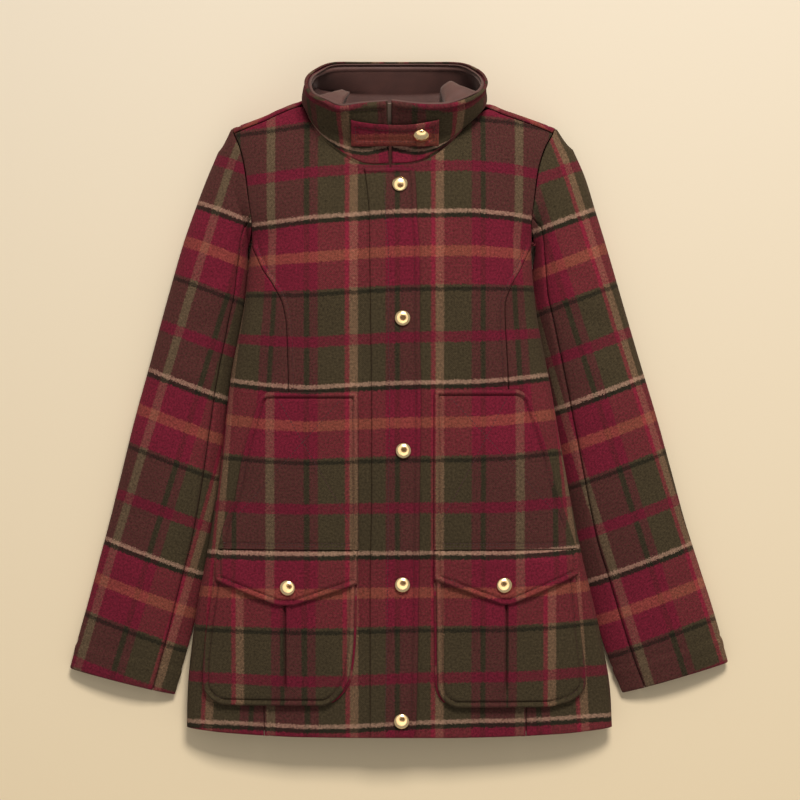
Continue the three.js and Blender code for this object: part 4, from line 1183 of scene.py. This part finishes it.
# Rough sizes, which only space out the points of a grid
SIDE_FRONT_WIDTH = 95
PLACKET_WIDTH = 55
WARMER_WIDTH, WARMER_HEIGHT = 130, 180
BELLOWS_WIDTH, BELLOWS_HEIGHT = 160, 163
FLAP_HEIGHT = 50
TAB_WIDTH, TAB_HEIGHT = 99, 28


def patch(name, node, points, side, under, stitched, edged, **how):
    """A pocket piece on the front, with its stitching"""
    shift = how.pop("shift", 0) + FRONT_SHIFT[side]
    face = front_piece(f"{name}_{side}", f"{node}_{side}", points, shift, under, stitched=stitched,
                       edged=edged, full=POCKET_FULL, **how)
    stitches(f"{name}_{side}_stitching", face, inside_line(on_front_plan(points), stitched, STITCH_IN))
    return face


def pocket(side):
    outward = SIDES[side]
    spec = POCKETS[side]
    under = [f"centre_front_{side}", f"side_front_panel_{side}"]
    hand_warmer(side, outward, spec["upper"], under)
    bellows(side, spec, under)
    u, y = grid_of([0, 0.5, 1], np.linspace(GUSSET_LOW, GUSSET_HIGH, 40))
    x = column(spec["lower"], "y", "inner")(y) + outward * (u * GUSSET_WIDTH - GUSSET_PROUD)
    points = on_front(x, y, LAY_GAP + GUSSET_CLOTH)
    gusset_cut = strip_cut(points)[..., ::-1] + [WARP_START + GUSSET_STRIPE, WEFT_START - GUSSET_ROW]
    cloth(f"bellows_gusset_{side}", points, gusset_cut, [f"pocket_gusset_{side}"], under, GUSSET_CLOTH,
          edged=())
    flap = spec["flap"]
    u, v = grid_of(spaced(abs(flap["outer"] - flap["inner"]), FINE), spaced(FLAP_HEIGHT, FINE))
    x = lerp(flap["inner"], flap["outer"], u)
    y = lerp(flap_edge(x, flap), FLAP_TOP_Y, v)
    points = on_front(x, y, flap_lift(x, y, spec) + CLOTH)
    lift = 2.4 * (1 - v) ** 2 * (0.5 + 0.5 * np.sin(u * 9 + 1)) * np.clip(hump(u) * 3, 0, 1)
    patch("pointed_flap", "pocket_flap", points, side, [f"bellows_pocket_{side}"], ("start", "low", "end"),
          ("start", "low", "end", "high"), relief=lift)


def hand_warmer(side, outward, rows, under):
    u, v = grid_of(spaced(WARMER_WIDTH, FINE), spaced(WARMER_HEIGHT, FINE))
    y = lerp(rows["y"][0], rows["y"][-1], v)
    x = lerp(*at_height(rows, y, "inner", "outer"), u)
    low = y - rows["y"][0]
    seams = sum(-1.1 * bell((low - at) / 0.8) for at in DOUBLE_STITCH)
    slack = 1.5 * hump(u) * hump(v) + 0.5 * np.sin(x / 17) * np.sin(y / 29)
    sides = ("start", "high", "end")
    points = on_front(x, y, LAY_GAP + CLOTH)
    face = patch("hand_warmer_panel", "pocket_upper", points, side, under, sides, sides, relief=seams + slack)
    row_x = np.linspace(rows["inner"][0] + outward * 3, rows["outer"][0] - outward * 3, 80)
    for at in DOUBLE_STITCH:
        front_row(f"hand_warmer_double_stitch_{side}_{at}", face, row_x, np.full(80, rows["y"][0] + at))


def bellows(side, spec, under):
    """The lower pocket, whose cloth is folded under itself at the centre pleat"""
    rows, pleat = spec["lower"], spec["pleat"]
    inner_cloth, outer_cloth = PLEAT_CLOTH[side]
    share = (pleat - rows["inner"][-1]) / (rows["outer"][-1] - rows["inner"][-1])
    slit = share + np.array([-3.2, -2.2, -1.5, -0.9, -0.45, 0, 0.45, 0.9, 1.5, 2.2, 3.2]) / BELLOWS_WIDTH
    plain = spaced(BELLOWS_WIDTH, FINE)
    us = [*plain[plain < slit[0] - 0.008], *slit, *plain[plain > slit[-1] + 0.008]]
    u, v = grid_of(us, spaced(BELLOWS_HEIGHT, FINE))
    y = lerp(rows["y"][0], rows["y"][-1], v)
    outer, inner = at_height(rows, y, "outer", "inner")
    middle = (pleat - inner) / (outer - inner)
    bent = np.where(u < share, u / share * middle, 1 - (1 - u) / (1 - share) * (1 - middle))
    x = lerp(inner, outer, bent)
    aside = (bent - middle) * BELLOWS_WIDTH
    open_ = ease((y - rows["y"][0] - 12) / PLEAT_CLOSE)
    slot = PLEAT_SLIT_DEPTH * bell(aside / PLEAT_SLIT)
    relief = (1.2 * bell(aside / 14) - slot) * open_
    relief = relief + 0.5 * np.sin(x / 15 + 1) * np.sin(y / 23) * hump(v)
    sides = ("start", "low", "end")
    points = on_front(x, y, LOWER_LIFT + pocket_puff(x, y, spec) + CLOTH)
    patch("bellows_pocket", "pocket_lower", points, side, under, sides, sides, relief=relief,
          pleated=abs(outer_cloth - inner_cloth), shift=np.where(bent > middle, outer_cloth, inner_cloth))


# The tab lies on the collar's front slope, from the fold to the rim at the centre front
FOLD_Y, FOLD_Z = COLLAR["fy"][0], COLLAR["fz"][0]
COLLAR_SLOPE = (COLLAR["rz"][0] - FOLD_Z) / (COLLAR["ry"][0] - FOLD_Y)
TAB_NORMAL = np.array([0, -COLLAR_SLOPE, 1]) / math.hypot(COLLAR_SLOPE, 1)
TAB_STRIPE = 88.5
TAB_ROW = 54.7


def on_tab(x, y, lift):
    return np.stack([x, y, FOLD_Z + (y - FOLD_Y) * COLLAR_SLOPE], -1) + TAB_NORMAL * lift


def collar_tab():
    u, v = grid_of(spaced(TAB_WIDTH, 3), spaced(TAB_HEIGHT, 2.5))
    x = lerp(TAB["right"], TAB["left"], u)
    y = lerp(TAB["low"], TAB["high"] - TAB["sag"] * hump(u), v)
    cut = np.stack([WARP_START + TAB_STRIPE - x + TAB["right"], WEFT_START - TAB_ROW + y - TAB["low"]], -1)
    sides = ("start", "low", "end", "high")
    bend = 0.72 * hump(u) * hump(v) + 0.36 * np.sin(u * 11)
    face = cloth("closing_tab", on_tab(x, y, TAB["lift"] + TAB["cloth"]), cut, ["collar_tab"],
                 ["collar_plaid_right", "collar_plaid_left"], TAB["cloth"], relief=bend, stitched=sides,
                 full=0.4)
    stitches("tab_stitching", face, inside_line(cut, sides, STITCH_IN * 0.8))


def snap_cap(name, node, seat, normal):
    """A domed cap, spun from its profile: rolled rim, shallow shoulder and dome"""
    profile = [(0, 0), (0.9, 0), (0.985, 0.1), (1, 0.24), (0.985, 0.36), (0.93, 0.48), (0.82, 0.62),
               (0.68, 0.77), (0.52, 0.88), (0.34, 0.955), (0.17, 0.99), (0, 1)]
    shape = bmesh.new()
    verts = [shape.verts.new((r * SNAP_RADIUS * MM, 0, h * SNAP_HEIGHT * MM)) for r, h in profile]
    edges = [shape.edges.new(pair) for pair in zip(verts, verts[1:])]
    bmesh.ops.spin(shape, geom=verts + edges, cent=(0, 0, 0), axis=(0, 0, 1), angle=2 * math.pi, steps=48,
                   use_merge=True)
    bmesh.ops.remove_doubles(shape, verts=shape.verts, dist=1e-6)
    bmesh.ops.recalc_face_normals(shape, faces=shape.faces)
    turn = Vector((0, 0, 1)).rotation_difference(Vector(normal)).to_matrix()
    bmesh.ops.transform(shape, matrix=turn.to_4x4(), verts=shape.verts)
    bmesh.ops.translate(shape, vec=Vector((seat + FRAME_SHIFT) * MM), verts=shape.verts)
    for face in shape.faces:
        face.smooth = True
    cap = made(name, shape, FINISHES["snap_gold"])
    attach(cap, "root")
    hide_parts(node)


def snap_caps():
    for i, (x, y) in enumerate(np.array(PLACKET_SNAPS, float), 1):
        seat = on_front(x, y, LAY_GAP * 2 + PLACKET_CLOTH)
        snap_cap(f"front_cap_{i}", f"snap_front_{i}", seat, front_normal(x, y))
    for side in SIDES:
        x, y = np.array(POCKETS[side]["snap"], float)
        lift = flap_lift(x, y, POCKETS[side]) + CLOTH + LAY_GAP
        snap_cap(f"pocket_cap_{side}", f"snap_pocket_{side}", on_front(x, y, lift), front_normal(x, y))
    snap_cap("tab_cap", "snap_tab", on_tab(*TAB_SNAP, TAB["lift"] + TAB["cloth"] + SEAM_GAP), TAB_NORMAL)


back_panel()
for side in SIDES:
    centre_front(side)
    side_front(side)
    sleeve(side)
    pocket(side)
collar()
collar_facing()
placket()
collar_tab()
snap_caps()

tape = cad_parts["zip_tape"]
tape.data.materials.clear()
tape.data.materials.append(TAPE)


# Floor, light and camera

def paper(tree):
    """Matt paper with a painted light gradient: brighter and yellower towards the bottom of the picture,
    greyer towards the top, set against the key light's falloff
    """
    up = add(tree, "SeparateXYZ", add(tree, "TexCoord")["Object"])[1]
    share = add(tree, "MapRange", up, -VIEW_WIDTH / 2, VIEW_WIDTH / 2, 0, 1)[0]
    # Painted light: the paper's colour runs from a brighter, yellower bottom to a greyer top, standing in for
    # how the light falls across it
    painted_falloff_papers = [(6, linear("#e5d6b7")), (7, linear("#d6cebd"))]
    return {"Base Color": add(tree, "Mix", share, sockets=painted_falloff_papers, data_type="RGBA")[2], "Roughness": 0.9}


def floor():
    shape = bmesh.new()
    bmesh.ops.create_grid(shape, x_segments=1, y_segments=1, size=FLOOR_SIZE / 2)
    sheet = made("floor", shape, finish("matt_paper", paper))


def area_light(name, place, size, power, colour):
    """A lamp that faces the middle of the coat"""
    lamp = bpy.data.lights.new(name, "AREA")
    lamp.shape = "RECTANGLE"
    lamp.size, lamp.size_y = size
    lamp.energy = power
    lamp.color = linear(colour)[:3]
    lit = placed(name, lamp)
    lit.location = place
    lit.rotation_euler = (-Vector(place)).to_track_quat("-Z", "Y").to_euler()


def card(name, colour, glow, size, place):
    """A round board over the set that is seen only as a reflection in the caps"""
    shape = bmesh.new()
    bmesh.ops.create_circle(shape, cap_ends=True, segments=48, radius=size / 2)
    tone = linear(colour)
    look = {"Base Color": tone, "Roughness": 1, "Emission Color": tone, "Emission Strength": glow}
    board = made(name, shape, finish(name, lambda tree: look))
    board.location = place
    board.visible_camera = False
    board.visible_diffuse = False
    board.visible_shadow = False


def studio():
    area_light("key", (0.4, 2.1, 2.4), (1.0, 0.8), 100, "#fff5ea")
    area_light("fill", (0.7, -1.6, 2.9), (3.0, 2.2), 8, "#fff2e0")
    world = bpy.data.worlds.new("studio")
    bpy.context.scene.world = world
    world.use_nodes = True
    connect(world.node_tree, world.node_tree.nodes["Background"], [(0, linear("#fff8ef")), (1, 0.37)])
    bpy.context.scene.view_settings.view_transform = "Standard"
    card("brown_velvet", "#553721", 0.15, CEILING_SIZE, (0.35, 0.15, CEILING_HEIGHT))
    card("white_tent", "#fff4e2", 0.9, TENT_SIZE, (0, 0, TENT_HEIGHT))


def camera():
    lens = bpy.data.cameras.new("camera")
    lens.sensor_width = SENSOR
    lens.lens = SENSOR * (CAMERA_HEIGHT - FOCUS_HEIGHT) / VIEW_WIDTH
    lens.clip_end = 50
    eye = placed("camera", lens)
    eye.location = (*VIEW_CENTRE, CAMERA_HEIGHT)
    bpy.context.scene.camera = eye


floor()
studio()
camera()
